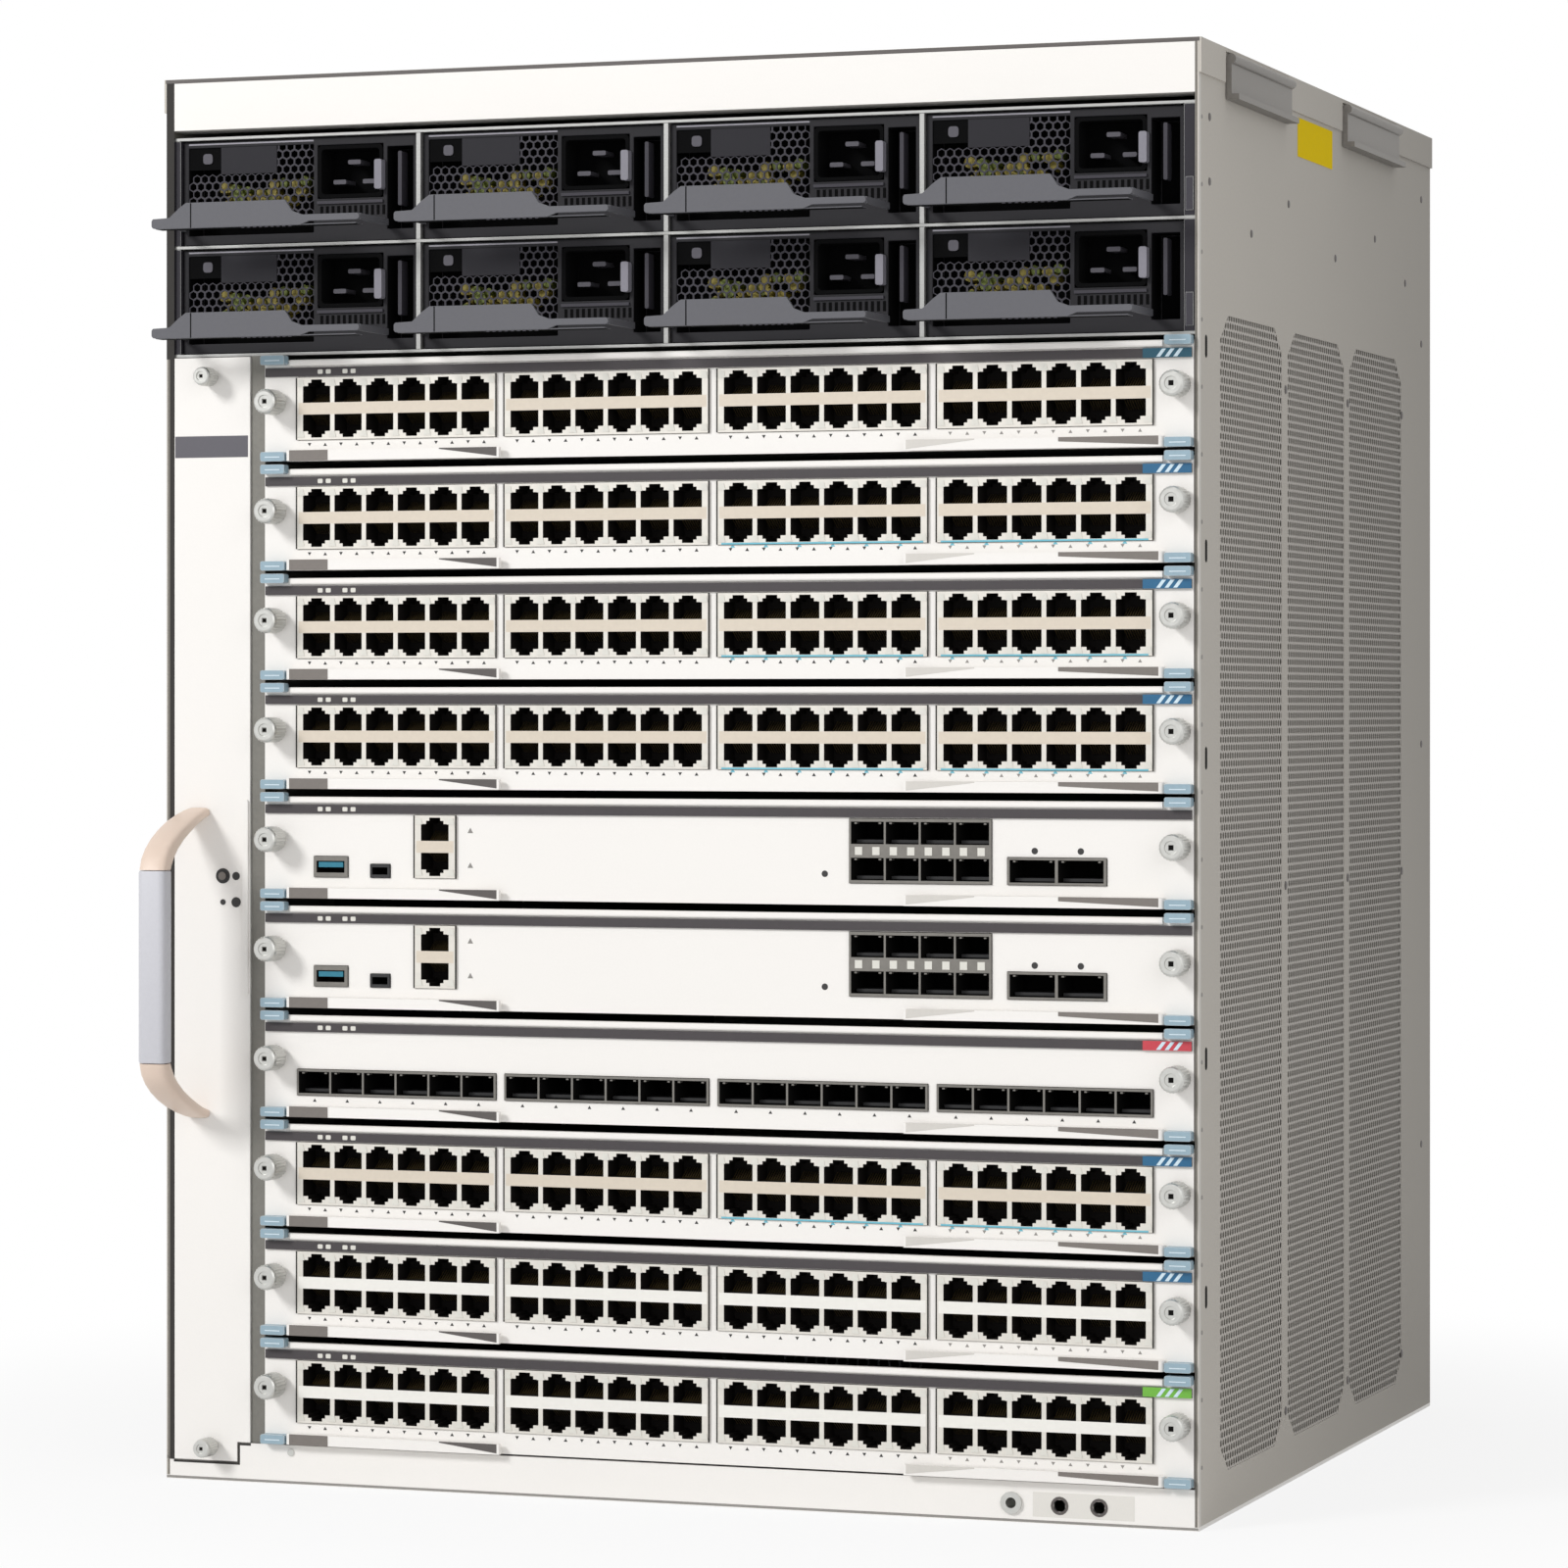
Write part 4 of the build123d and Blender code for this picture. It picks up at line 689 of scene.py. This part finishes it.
def supply_meshes():
    """A power supply's case, its face with mesh and inlet, and its pull handle."""
    case = Shape()
    # Near-black walls and floors in the face's recesses: the inlet's black plastic, and behind the mesh painted
    # shade for the dark inside of the supply.
    case.plate((0, POWER_WIDTH), (0, POWER_HEIGHT),
               [(2.5, 58.5, 4.0, 40.0), (60.3, 89.4, 17.6, 39.4), (91.2, 102.6, 4.6, 38.0)], 0, 13.8, "supply",
               wall="supply_black_and_shade", floor="supply_black_and_shade")
    case.box((0, POWER_WIDTH), (14.2, POWER_DEPTH), (0, POWER_HEIGHT), "zinc")

    face = Shape()
    label = (17.0, 41.0, 29.0, 40.0)
    window = (3.6, 16.8, 31.0, 40.0)

    def open_mesh(a, b):
        in_label = label[0] - 13.6 < a < label[1] and label[2] < b
        return 2.5 < a < 58.5 and 9.0 < b < 40.0 and not in_label

    cells = hex_cells(open_mesh, (2.5, 9.0), (58.5, 40.0), 3.5)
    perforate(face, cells, 3.5, 1.62, lambda a, b, d: (min(max(a, 2.5), 58.5), 0.3 + 0.7 * d,
                                                       min(max(b, 4.0), 40.0)), "supply_mesh", "supply_mesh")
    face.box((window[0] + 13.4, label[1] + 1.0), (0.1, 1.0), (label[2], 40.0), "supply_label")
    face.box((2.5, window[1]), (0.6, 1.4), (window[2], 40.0), "supply_black_and_shade")
    face.prism(rounded(8.8, 13.0, 33.4, 37.6, 1.2, 3), "y", 0.2, 0.6, "pin")
    for i in range(26):
        x, z = 16 + rng.random() * 38, 15 + rng.random() * 11
        size = 1.0 + rng.random() * 1.8
        face.lathe((x, 0, z), "y", [(size, 3.0 + rng.random() * 4), (size, 13.6)], 8,
                   "coil" if rng.random() < 0.6 else "coil_green")
    frame_outline = rounded(60.5, 89.2, 17.8, 39.2, 1.6, 3)
    inner_outline = rounded(62.0, 87.7, 19.3, 37.7, 1.4, 3)
    count = len(frame_outline)
    ring = [(i, (i + 1) % count, count + (i + 1) % count, count + i) for i in range(count)]
    face.add([(x, -0.1, z) for x, z in frame_outline] + [(x, -0.1, z) for x, z in inner_outline], ring,
             "supply_black_and_shade")
    face.add([(x, -0.1, z) for x, z in inner_outline] + [(x, 13.7, z) for x, z in inner_outline], ring,
             "supply_black_and_shade")
    # The inlet's pins are painted dark grey: painted shade on metal pins deep in the inlet.
    for x, z in ((68.35, 24.6), (81.35, 24.6), (74.85, 32.6)):
        face.prism(rounded(x - 2.8, x + 2.8, z - 0.9, z + 0.9, 0.5, 2), "y", 4.0, 13.7, "pin")
    face.prism(rounded(87.2, 90.4, 20.6, 32.6, 0.8, 3), "y", -4.2, -0.2, "clip")
    face.prism(rounded(96.0, 97.6, 14.0, 36.0, 0.5, 2), "y", -0.2, 6.0, "supply_mesh")
    face.box((2.5, 58.5), (-0.05, 0.0), (41.2, 41.8), "zinc_dim")
    # A row of near-black bars below the inlet: painted shade standing for vent slots.
    for i in range(12):
        x = 61.5 + i * 2.5
        face.box((x, x + 1.3), (-0.06, 0.0), (10.5, 14.5), "supply_black_and_shade")
    face.box((60.3, 89.4), (-0.8, 0.0), (15.4, 16.6), "supply_mesh")

    pull = Shape()
    outline = [(0.6, 4.8), (3.0, 4.4), (66.0, 4.4), (70.0, 5.9), (91.0, 5.9), (92, 6.6), (92, 8.0), (91.2, 8.6),
               (66.9, 8.6), (62.5, 10.2), (59.4, 14.8), (15.4, 14.8), (12.2, 12.6), (7.9, 8.9), (0.6, 8.6),
               (0, 7.8),
               (0, 5.6)]
    pull.prism(outline, "y", -30.0, -28.4, "supply_pull")
    for x in (0, 90.4):
        pull.box((x, x + 1.6), (-28.4, -0.2), (5.9, 8.6), "supply_pull")
    # A near-black shelf under the handle: painted shade for the handle's underside.
    handle_underside_shade = [(-29.6, 4.4), (-29.6, 4.9), (-23.0, 4.9), (-23.0, 4.4)]
    pull.prism(handle_underside_shade, "x", 1.6, 90.4, "supply_black_and_shade")
    groove = Shape()
    groove.box((17.4, 17.9), (-30.05, -30.0), (4.6, 14.6), "supply_black_and_shade")
    for i in range(9):
        groove.box((40 + i * 2.6, 41.4 + i * 2.6), (-29.7, -29.65), (4.0, 4.35), "supply_mesh")
    return {"case": case.mesh("supply_case", bevel=0.3), "face": face.mesh("supply_face", merge=False),
            "pull": pull.mesh("supply_pull", bevel=0.6), "groove": groove.mesh("supply_groove", merge=False)}


supply = supply_meshes()
for number in range(1, 9):
    node = f"power_supply_{number}"
    column, top = (number - 1) % 4, number <= 4
    at = (POWER_LEFT + column * POWER_PITCH, -197.0, 461.6 + (SLOT_PITCH if top else 0))
    piece(f"supply_{number}_case", supply["case"], node, at, [node])
    piece(f"supply_{number}_face", supply["face"], node, at)
    piece(f"supply_{number}_pull", supply["pull"], node, at)
    piece(f"supply_{number}_groove", supply["groove"], node, at)


# ---- Side walls ------------------------------------------------------------

FIELD_STARTS = [-168.0 + step * 106.5 for step in range(3)]
FIELD_WIDTH, FIELD_LOW, FIELD_HIGH = 97.0, 18.0, 470.0
CUT_Y, CUT_Z = 12.0, 10.0


def octagon(start):
    """A vent window's outline in (y, z), a rectangle with cut corners."""
    y0, y1 = start, start + FIELD_WIDTH
    return [(y0 + CUT_Y, FIELD_LOW), (y1 - CUT_Y, FIELD_LOW), (y1, FIELD_LOW + CUT_Z), (y1, FIELD_HIGH - CUT_Z),
            (y1 - CUT_Y, FIELD_HIGH), (y0 + CUT_Y, FIELD_HIGH), (y0, FIELD_HIGH - CUT_Z),
            (y0, FIELD_LOW + CUT_Z)]


def in_octagon(y, z, grow):
    """True inside a field that starts at y = 0, grown by that many millimetres."""
    corner = max(-y, y - FIELD_WIDTH) / CUT_Y + max(FIELD_LOW - z, z - FIELD_HIGH) / CUT_Z
    return (-grow < y < FIELD_WIDTH + grow and FIELD_LOW - grow < z < FIELD_HIGH + grow
            and corner < -1 + grow / 8)


def field_mesh(pitch=3.6, hole=1.42):
    """The small holes of one vent window, as rings on its sheet."""
    shape = Shape()
    cells = hex_cells(lambda a, b: in_octagon(a, b, 1.5), (-4, FIELD_LOW - 4),
                      (FIELD_WIDTH + 4, FIELD_HIGH + 4),
                      pitch)
    perforate(shape, cells, pitch, hole, lambda a, b, d: (-0.06, a, b), "vent", None)
    return shape.mesh("vent_field", merge=False)


def wall_mesh():
    """The wall's outer sheet with three octagonal windows, drawn by bridging their edges."""
    work = bmesh.new()
    border = [(FRONT, WALL_LOW), (BACK, WALL_LOW), (BACK, WALL_HIGH), (FRONT, WALL_HIGH)]
    loops = [border] + [octagon(start) for start in FIELD_STARTS]
    edges = []
    for loop in loops:
        verts = [work.verts.new((0, y, z)) for y, z in loop]
        edges += [work.edges.new((verts[i], verts[(i + 1) % len(verts)])) for i in range(len(verts))]
    bmesh.ops.triangle_fill(work, use_beauty=True, use_dissolve=False, edges=edges)
    skin = bmesh.ops.extrude_face_region(work, geom=list(work.faces))
    moved = [v for v in skin["geom"] if isinstance(v, bmesh.types.BMVert)]
    bmesh.ops.translate(work, vec=(-0.6, 0, 0), verts=moved)
    bmesh.ops.recalc_face_normals(work, faces=work.faces)
    bmesh.ops.scale(work, vec=(MM, MM, MM), verts=work.verts)
    mesh = bpy.data.meshes.new("wall_skin")
    work.to_mesh(mesh)
    work.free()
    mesh.materials.append(MAT["case"])
    return mesh


def wall_fittings():
    """Backing sheet painted as the shaded inside, rivets, slots and small holes painted dark as shade, and
    screws, drawn for the right wall with its face at x = 0.
    """
    shape = Shape()
    # A sheet behind the vent fields, painted as the shaded inside of the chassis seen through the holes.
    shape.box((-1.45, -0.9), (FRONT, BACK), (WALL_LOW, WALL_HIGH), "shaded_inside_backing")
    for z in (30.0, 244.0, 446.0):
        for y in (-65.0, 42.0, 143.0):
            shape.lathe((0, y, z), "x", [(1.9, 0.0), (1.6, 0.35), (0.7, 0.5)], 12, "tip")
    # Slots painted near-black on the wall face: painted shade for the slot openings.
    for z in (89.0, 181.0, 297.0, 377.0, 456.0):
        shape.prism(rounded(-190.6, -187.6, z - 4.4, z + 4.4, 1.4, 3), "x", 0.0, 0.08, "hollow_shade")
    # A column of small grey dots in the print grey: painted shade for small holes near the front edge.
    for z in range(24, 545, 26):
        shape.lathe((0, -195.5, z), "x", [(0.9, 0.0), (0.8, 0.2)], 8, "ink")
    for y, z in ((-184, 520), (-120, 505), (-60, 522), (20, 506), (92, 520), (150, 505), (182, 480), (182, 300),
                 (182, 120), (-184, 545), (182, 545)):
        shape.lathe((0, y, z), "x", [(1.7, 0.0), (1.4, 0.3), (0.5, 0.4)], 12, "tip")
    shape.box((0.0, INK), (FRONT, FRONT + 2.8), (WALL_LOW, WALL_HIGH), "wall_edge")
    return shape.mesh("wall_fittings", merge=False)


field, skin, fittings = field_mesh(), wall_mesh(), wall_fittings()
for side, x, turn in (("right", WALL_X, 0.0), ("left", -WALL_X, math.pi)):
    node = f"{side}_side_wall"
    piece(f"{side}_wall_skin", skin, "chassis", (x, 0, 0), [node], turn)
    piece(f"{side}_wall_fittings", fittings, "chassis", (x, 0, 0), turn=turn)
    for index, start in enumerate(FIELD_STARTS):
        y = start if side == "right" else -start
        piece(f"{side}_wall_vent_{index + 1}", field, "chassis", (x, y, 0), turn=turn)

flange = Shape()
flange.box((-WALL_X, -215.7), (FRONT, FRONT + 1.5), (8.2, 459.5), "edge")
flange.box((-WALL_X, -215.5), (FRONT - 0.05, FRONT), (459.5, WALL_HIGH), "edge")
flange.box((-219.4, 219.4), (FRONT - 0.05, FRONT), (572.7, 574.2), "tip")
piece("left_front_flange", flange.mesh("left_front_flange", bevel=0.2), "chassis")


# ---- Rest of the housing ---------------------------------------------------

dress("top_cover", "case", 0.3)
dress("bottom_pan", "white", 0.3)
dress("rear_panel", "case", 0.4)
dress("header_bezel", "white", 0.5)
bay = Shape()
for level in range(3):
    low = SLOTS_TOP - 0.6 + level * SLOT_PITCH
    bay.box((-BAY_HALF, BAY_HALF), BAY_DEPTH, (low, low + 1.2), "zinc")
for row in range(2):
    low, high = SLOTS_TOP + 0.65 + row * SLOT_PITCH, SLOTS_TOP - 0.65 + (row + 1) * SLOT_PITCH
    for column in range(1, 4):
        x = POWER_LEFT + column * POWER_PITCH
        bay.box((x - 2.3, x - 0.3), BAY_DEPTH, (low, high), "zinc")
    bay.box((-BAY_HALF, -213.1), BAY_DEPTH, (low, high), "bay_side")
    bay.box((212.9, BAY_HALF), BAY_DEPTH, (low, high), "bay_side")
    bay.box((213.6, 216.8), (-199.4, -199.0), (low + 2.0, low + 15.0), "supply_mesh")
piece("bay_sheets", bay.mesh("bay_sheets", bevel=0.15), "chassis", replaces=["power_bay_frame"])
dress("left_card_rails", "post", 0.15)
dress("right_card_rails", "post")
dress("backplane", "board")
dress("wrist_strap_socket", "nickel", 0.3)
for side in ("right", "left"):
    for end in ("front", "rear"):
        dress(f"lift_handle_{side}_{end}", "lift", 0.4)

trim = Shape()
lug_holes = [(x - 2.3, x + 2.3, 4.9, 9.5) for x in (163.36, 179.24)]
trim.plate((152.5, 193.5), (2.6, 12.2), lug_holes, FRONT - INK, INK, "pad_bare")
for x in (163.36, 179.24):
    trim.lathe((x, 0, 7.2), "y", [(3.6, FRONT - INK), (3.5, FRONT - 0.3), (2.5, FRONT - 0.3),
                                  (2.4, FRONT + 1.0)], 16, "tip", caps=False)
for xs, zs in (((-215.7, -185.9), (6.9, 7.9)), ((-186.9, -185.9), (7.9, 15.9)),
               ((-185.9, -181.0), (14.9, 15.9))):
    trim.box(xs, (FRONT - INK, FRONT), zs, "edge")
trim.box((-218.9, 218.9), (FRONT - INK, FRONT), (0.3, 1.3), "ink")
trim.lathe((-163.0, 0, 13.0), "y", [(1.5, FRONT - 0.5), (1.5, FRONT)], 12, "nickel")
trim.box((WALL_X, WALL_X + 0.22), (-45.0, 14.0), (543.0, 559.0), "yellow")
for x in (-209.0, -120.0, 0.0, 120.0, 209.0):
    for z in (14.0, 150.0, 290.0, 430.0, 562.0):
        if abs(x) < 200.0 and 100.0 < z < 500.0:
            continue
        trim.lathe((x, 0, z), "y", [(3.4, BACK - 0.8), (3.2, BACK - 0.1), (1.0, BACK)], 16, "nickel")
piece("housing_trim", trim.mesh("housing_trim", merge=False), "chassis")


# ---- Fan tray --------------------------------------------------------------

dress("fan_tray_frame", "white", 0.4)
dress("fan_bank", "fan", 0.4)
dress("fan_rotors", "fan", 0.4)
dress("fan_controller", "zinc", 0.4)


def handle_end_mesh(direction, grip_z):
    """A swept arm of the handle: rounded sections along a bent path from foot to grip."""
    stations = ((0.2, 22.6, 3.9), (4.0, 21.8, 4.1), (10.0, 19.8, 4.6), (17.0, 17.0, 5.2), (24.0, 13.8, 5.9),
                (30.0, 10.2, 6.8), (34.5, 6.4, 7.8), (37.2, 3.0, 8.5), (38.4, 0.0, 8.8))
    sides, points = 20, []
    for i, (reach, rise, thick) in enumerate(stations):
        before, after = stations[max(i - 1, 0)], stations[min(i + 1, len(stations) - 1)]
        dy, dz = before[0] - after[0], direction * (after[1] - before[1])
        if i == len(stations) - 1:
            dy, dz = 0.0, -direction
        size = math.hypot(dy, dz)
        width = 4.9 + 1.1 * min(reach / 15, 1)
        for s in range(sides):
            a = TURN * s / sides
            u = math.copysign(abs(math.cos(a)) ** 0.55, math.cos(a)) * width
            v = math.copysign(abs(math.sin(a)) ** 0.55, math.sin(a)) * thick / 2
            points.append((HANDLE_X + 6.0 - width + u, FRONT - reach - dz / size * v,
                           grip_z + direction * rise + dy / size * v))
    faces = []
    for i in range(len(stations) - 1):
        for s in range(sides):
            r = (s + 1) % sides
            faces.append((i * sides + s, i * sides + r, (i + 1) * sides + r, (i + 1) * sides + s))
    faces += [tuple(range(sides)), tuple(range(len(points) - sides, len(points)))]
    shape = Shape()
    shape.add(points, faces, "handle_end")
    return shape


ends = handle_end_mesh(1, 251.0)
lower = handle_end_mesh(-1, 172.8)
ends.add(lower.points, lower.faces, "handle_end")
piece("fan_handle_ends", ends.mesh("fan_handle_ends", smooth=True), "fan_tray",
      replaces=["fan_tray_handle_ends"])

grip = Shape()
grip.prism(rounded(HANDLE_X - 6.0, HANDLE_X + 6.0, -243.0, -234.0, 2.6, 5), "z", 173.0, 250.8, "grip")
piece("fan_handle_grip", grip.mesh("fan_handle_grip", bevel=0.8, smooth=True), "fan_tray",
      replaces=["fan_tray_grip"])

screws = Shape()
for z in (14.2, 451.7):
    add_knob(screws, FAN_MIDDLE, z, FRONT - 0.2, 11.0, 3.9)
piece("fan_thumbscrews", screws.mesh("fan_thumbscrews", merge=False), "fan_tray",
      replaces=["fan_tray_thumbscrews"])

marks = Shape()
marks.box((-215.1, -182.3), (FRONT - 0.08, FRONT), (418.9, 427.7), "band")
marks.lathe((-193.5, 0, 247.6), "y", [(3.1, FRONT - 0.3), (3.1, FRONT)], 24, "ink_dark")
marks.lathe((-193.5, 0, 247.6), "y", [(1.7, FRONT - 0.9), (1.5, FRONT - 0.3)], 24, "root")
for x, z, radius in ((-193.5, 236.9, 1.2), (-187.6, 247.6, 1.7), (-187.6, 236.9, 2.1)):
    marks.lathe((x, 0, z), "y", [(radius, FRONT - 0.2), (radius, FRONT)], 12, "ink_dark")
marks.prism(rounded(-184.6, -182.0, 199.0, 279.0, 1.0, 3), "y", FRONT - 0.9, FRONT, "white")
piece("fan_panel_marks", marks.mesh("fan_panel_marks", merge=False), "fan_tray")


# ---- Floor, light and camera -----------------------------------------------

def floor_material():
    """Pale floor that keeps the shadow near the object and turns white away from it."""
    material = bpy.data.materials.new("floor_pale")
    material.use_nodes = True
    nodes, links = material.node_tree.nodes, material.node_tree.links
    nodes.remove(nodes["Principled BSDF"])
    out = nodes["Material Output"]
    matt = nodes.new("ShaderNodeBsdfDiffuse")
    matt.inputs["Color"].default_value = (0.86, 0.86, 0.86, 1)
    glow = nodes.new("ShaderNodeEmission")
    near = nodes.new("ShaderNodeMixShader")
    place = nodes.new("ShaderNodeTexCoord")
    far = nodes.new("ShaderNodeVectorMath")
    far.operation = "LENGTH"
    links.new(place.outputs["Object"], far.inputs[0])
    fade = nodes.new("ShaderNodeMapRange")
    fade.interpolation_type = "SMOOTHSTEP"
    fade.inputs["From Min"].default_value = 0.28
    fade.inputs["From Max"].default_value = 0.62
    fade.inputs["To Min"].default_value = 0.84
    links.new(far.outputs["Value"], fade.inputs["Value"])
    seen = nodes.new("ShaderNodeLightPath")
    rays = nodes.new("ShaderNodeMath")
    rays.operation = "MAXIMUM"
    links.new(seen.outputs["Is Camera Ray"], rays.inputs[0])
    links.new(seen.outputs["Is Glossy Ray"], rays.inputs[1])
    share = nodes.new("ShaderNodeMath")
    share.operation = "MULTIPLY"
    links.new(fade.outputs["Result"], share.inputs[0])
    links.new(rays.outputs["Value"], share.inputs[1])
    links.new(share.outputs["Value"], near.inputs["Fac"])
    links.new(matt.outputs["BSDF"], near.inputs[1])
    links.new(glow.outputs["Emission"], near.inputs[2])
    links.new(near.outputs["Shader"], out.inputs["Surface"])
    return material


ground = bpy.data.meshes.new("floor")
ground.from_pydata([(-12, -12, 0), (12, -12, 0), (12, 12, 0), (-12, 12, 0)], [], [(0, 1, 2, 3)])
ground.materials.append(floor_material())
floor = bpy.data.objects.new("floor", ground)
bpy.context.scene.collection.objects.link(floor)

world = bpy.data.worlds.new("studio")
bpy.context.scene.world = world
world.use_nodes = True
nodes, links = world.node_tree.nodes, world.node_tree.links
soft = nodes["Background"]
soft.inputs["Color"].default_value = (1, 1, 1, 1)
soft.inputs["Strength"].default_value = 0.42
plain = nodes.new("ShaderNodeBackground")
plain.inputs["Color"].default_value = (1, 1, 1, 1)
seen = nodes.new("ShaderNodeLightPath")
first = nodes.new("ShaderNodeMath")
first.operation = "MAXIMUM"
links.new(seen.outputs["Is Camera Ray"], first.inputs[0])
links.new(seen.outputs["Is Glossy Ray"], first.inputs[1])
second = nodes.new("ShaderNodeMath")
second.operation = "MAXIMUM"
links.new(first.outputs["Value"], second.inputs[0])
links.new(seen.outputs["Is Transmission Ray"], second.inputs[1])
blend = nodes.new("ShaderNodeMixShader")
links.new(second.outputs["Value"], blend.inputs["Fac"])
links.new(soft.outputs["Background"], blend.inputs[1])
links.new(plain.outputs["Background"], blend.inputs[2])
links.new(blend.outputs["Shader"], nodes["World Output"].inputs["Surface"])


def lamp(name, place, power, size, target=(0, -0.1, 0.3)):
    """A square lamp in metres and watts, turned towards target."""
    light = bpy.data.lights.new(name, "AREA")
    light.energy = power
    light.size = size
    thing = bpy.data.objects.new(name, light)
    thing.location = place
    thing.rotation_euler = (Vector(target) - Vector(place)).to_track_quat("-Z", "Y").to_euler()
    bpy.context.scene.collection.objects.link(thing)


lamp("key", (-2.2, -3.4, 2.4), 104.0, 1.05)
lamp("fill", (1.5, -1.9, 0.9), 9.0, 1.6)
lamp("top", (0.2, 0.2, 2.4), 8.0, 1.6)

camera = bpy.data.cameras.new("camera")
camera.lens = 125.2
camera.sensor_width = 36.0
camera.shift_y = -0.05
camera.clip_start, camera.clip_end = 0.05, 60
viewer = bpy.data.objects.new("camera", camera)
viewer.location = (0.768, -2.2274, 0.3173)
viewer.rotation_euler = (math.pi / 2, 0, math.radians(19.5))
bpy.context.scene.collection.objects.link(viewer)
bpy.context.scene.camera = viewer
bpy.context.scene.view_settings.view_transform = "Standard"
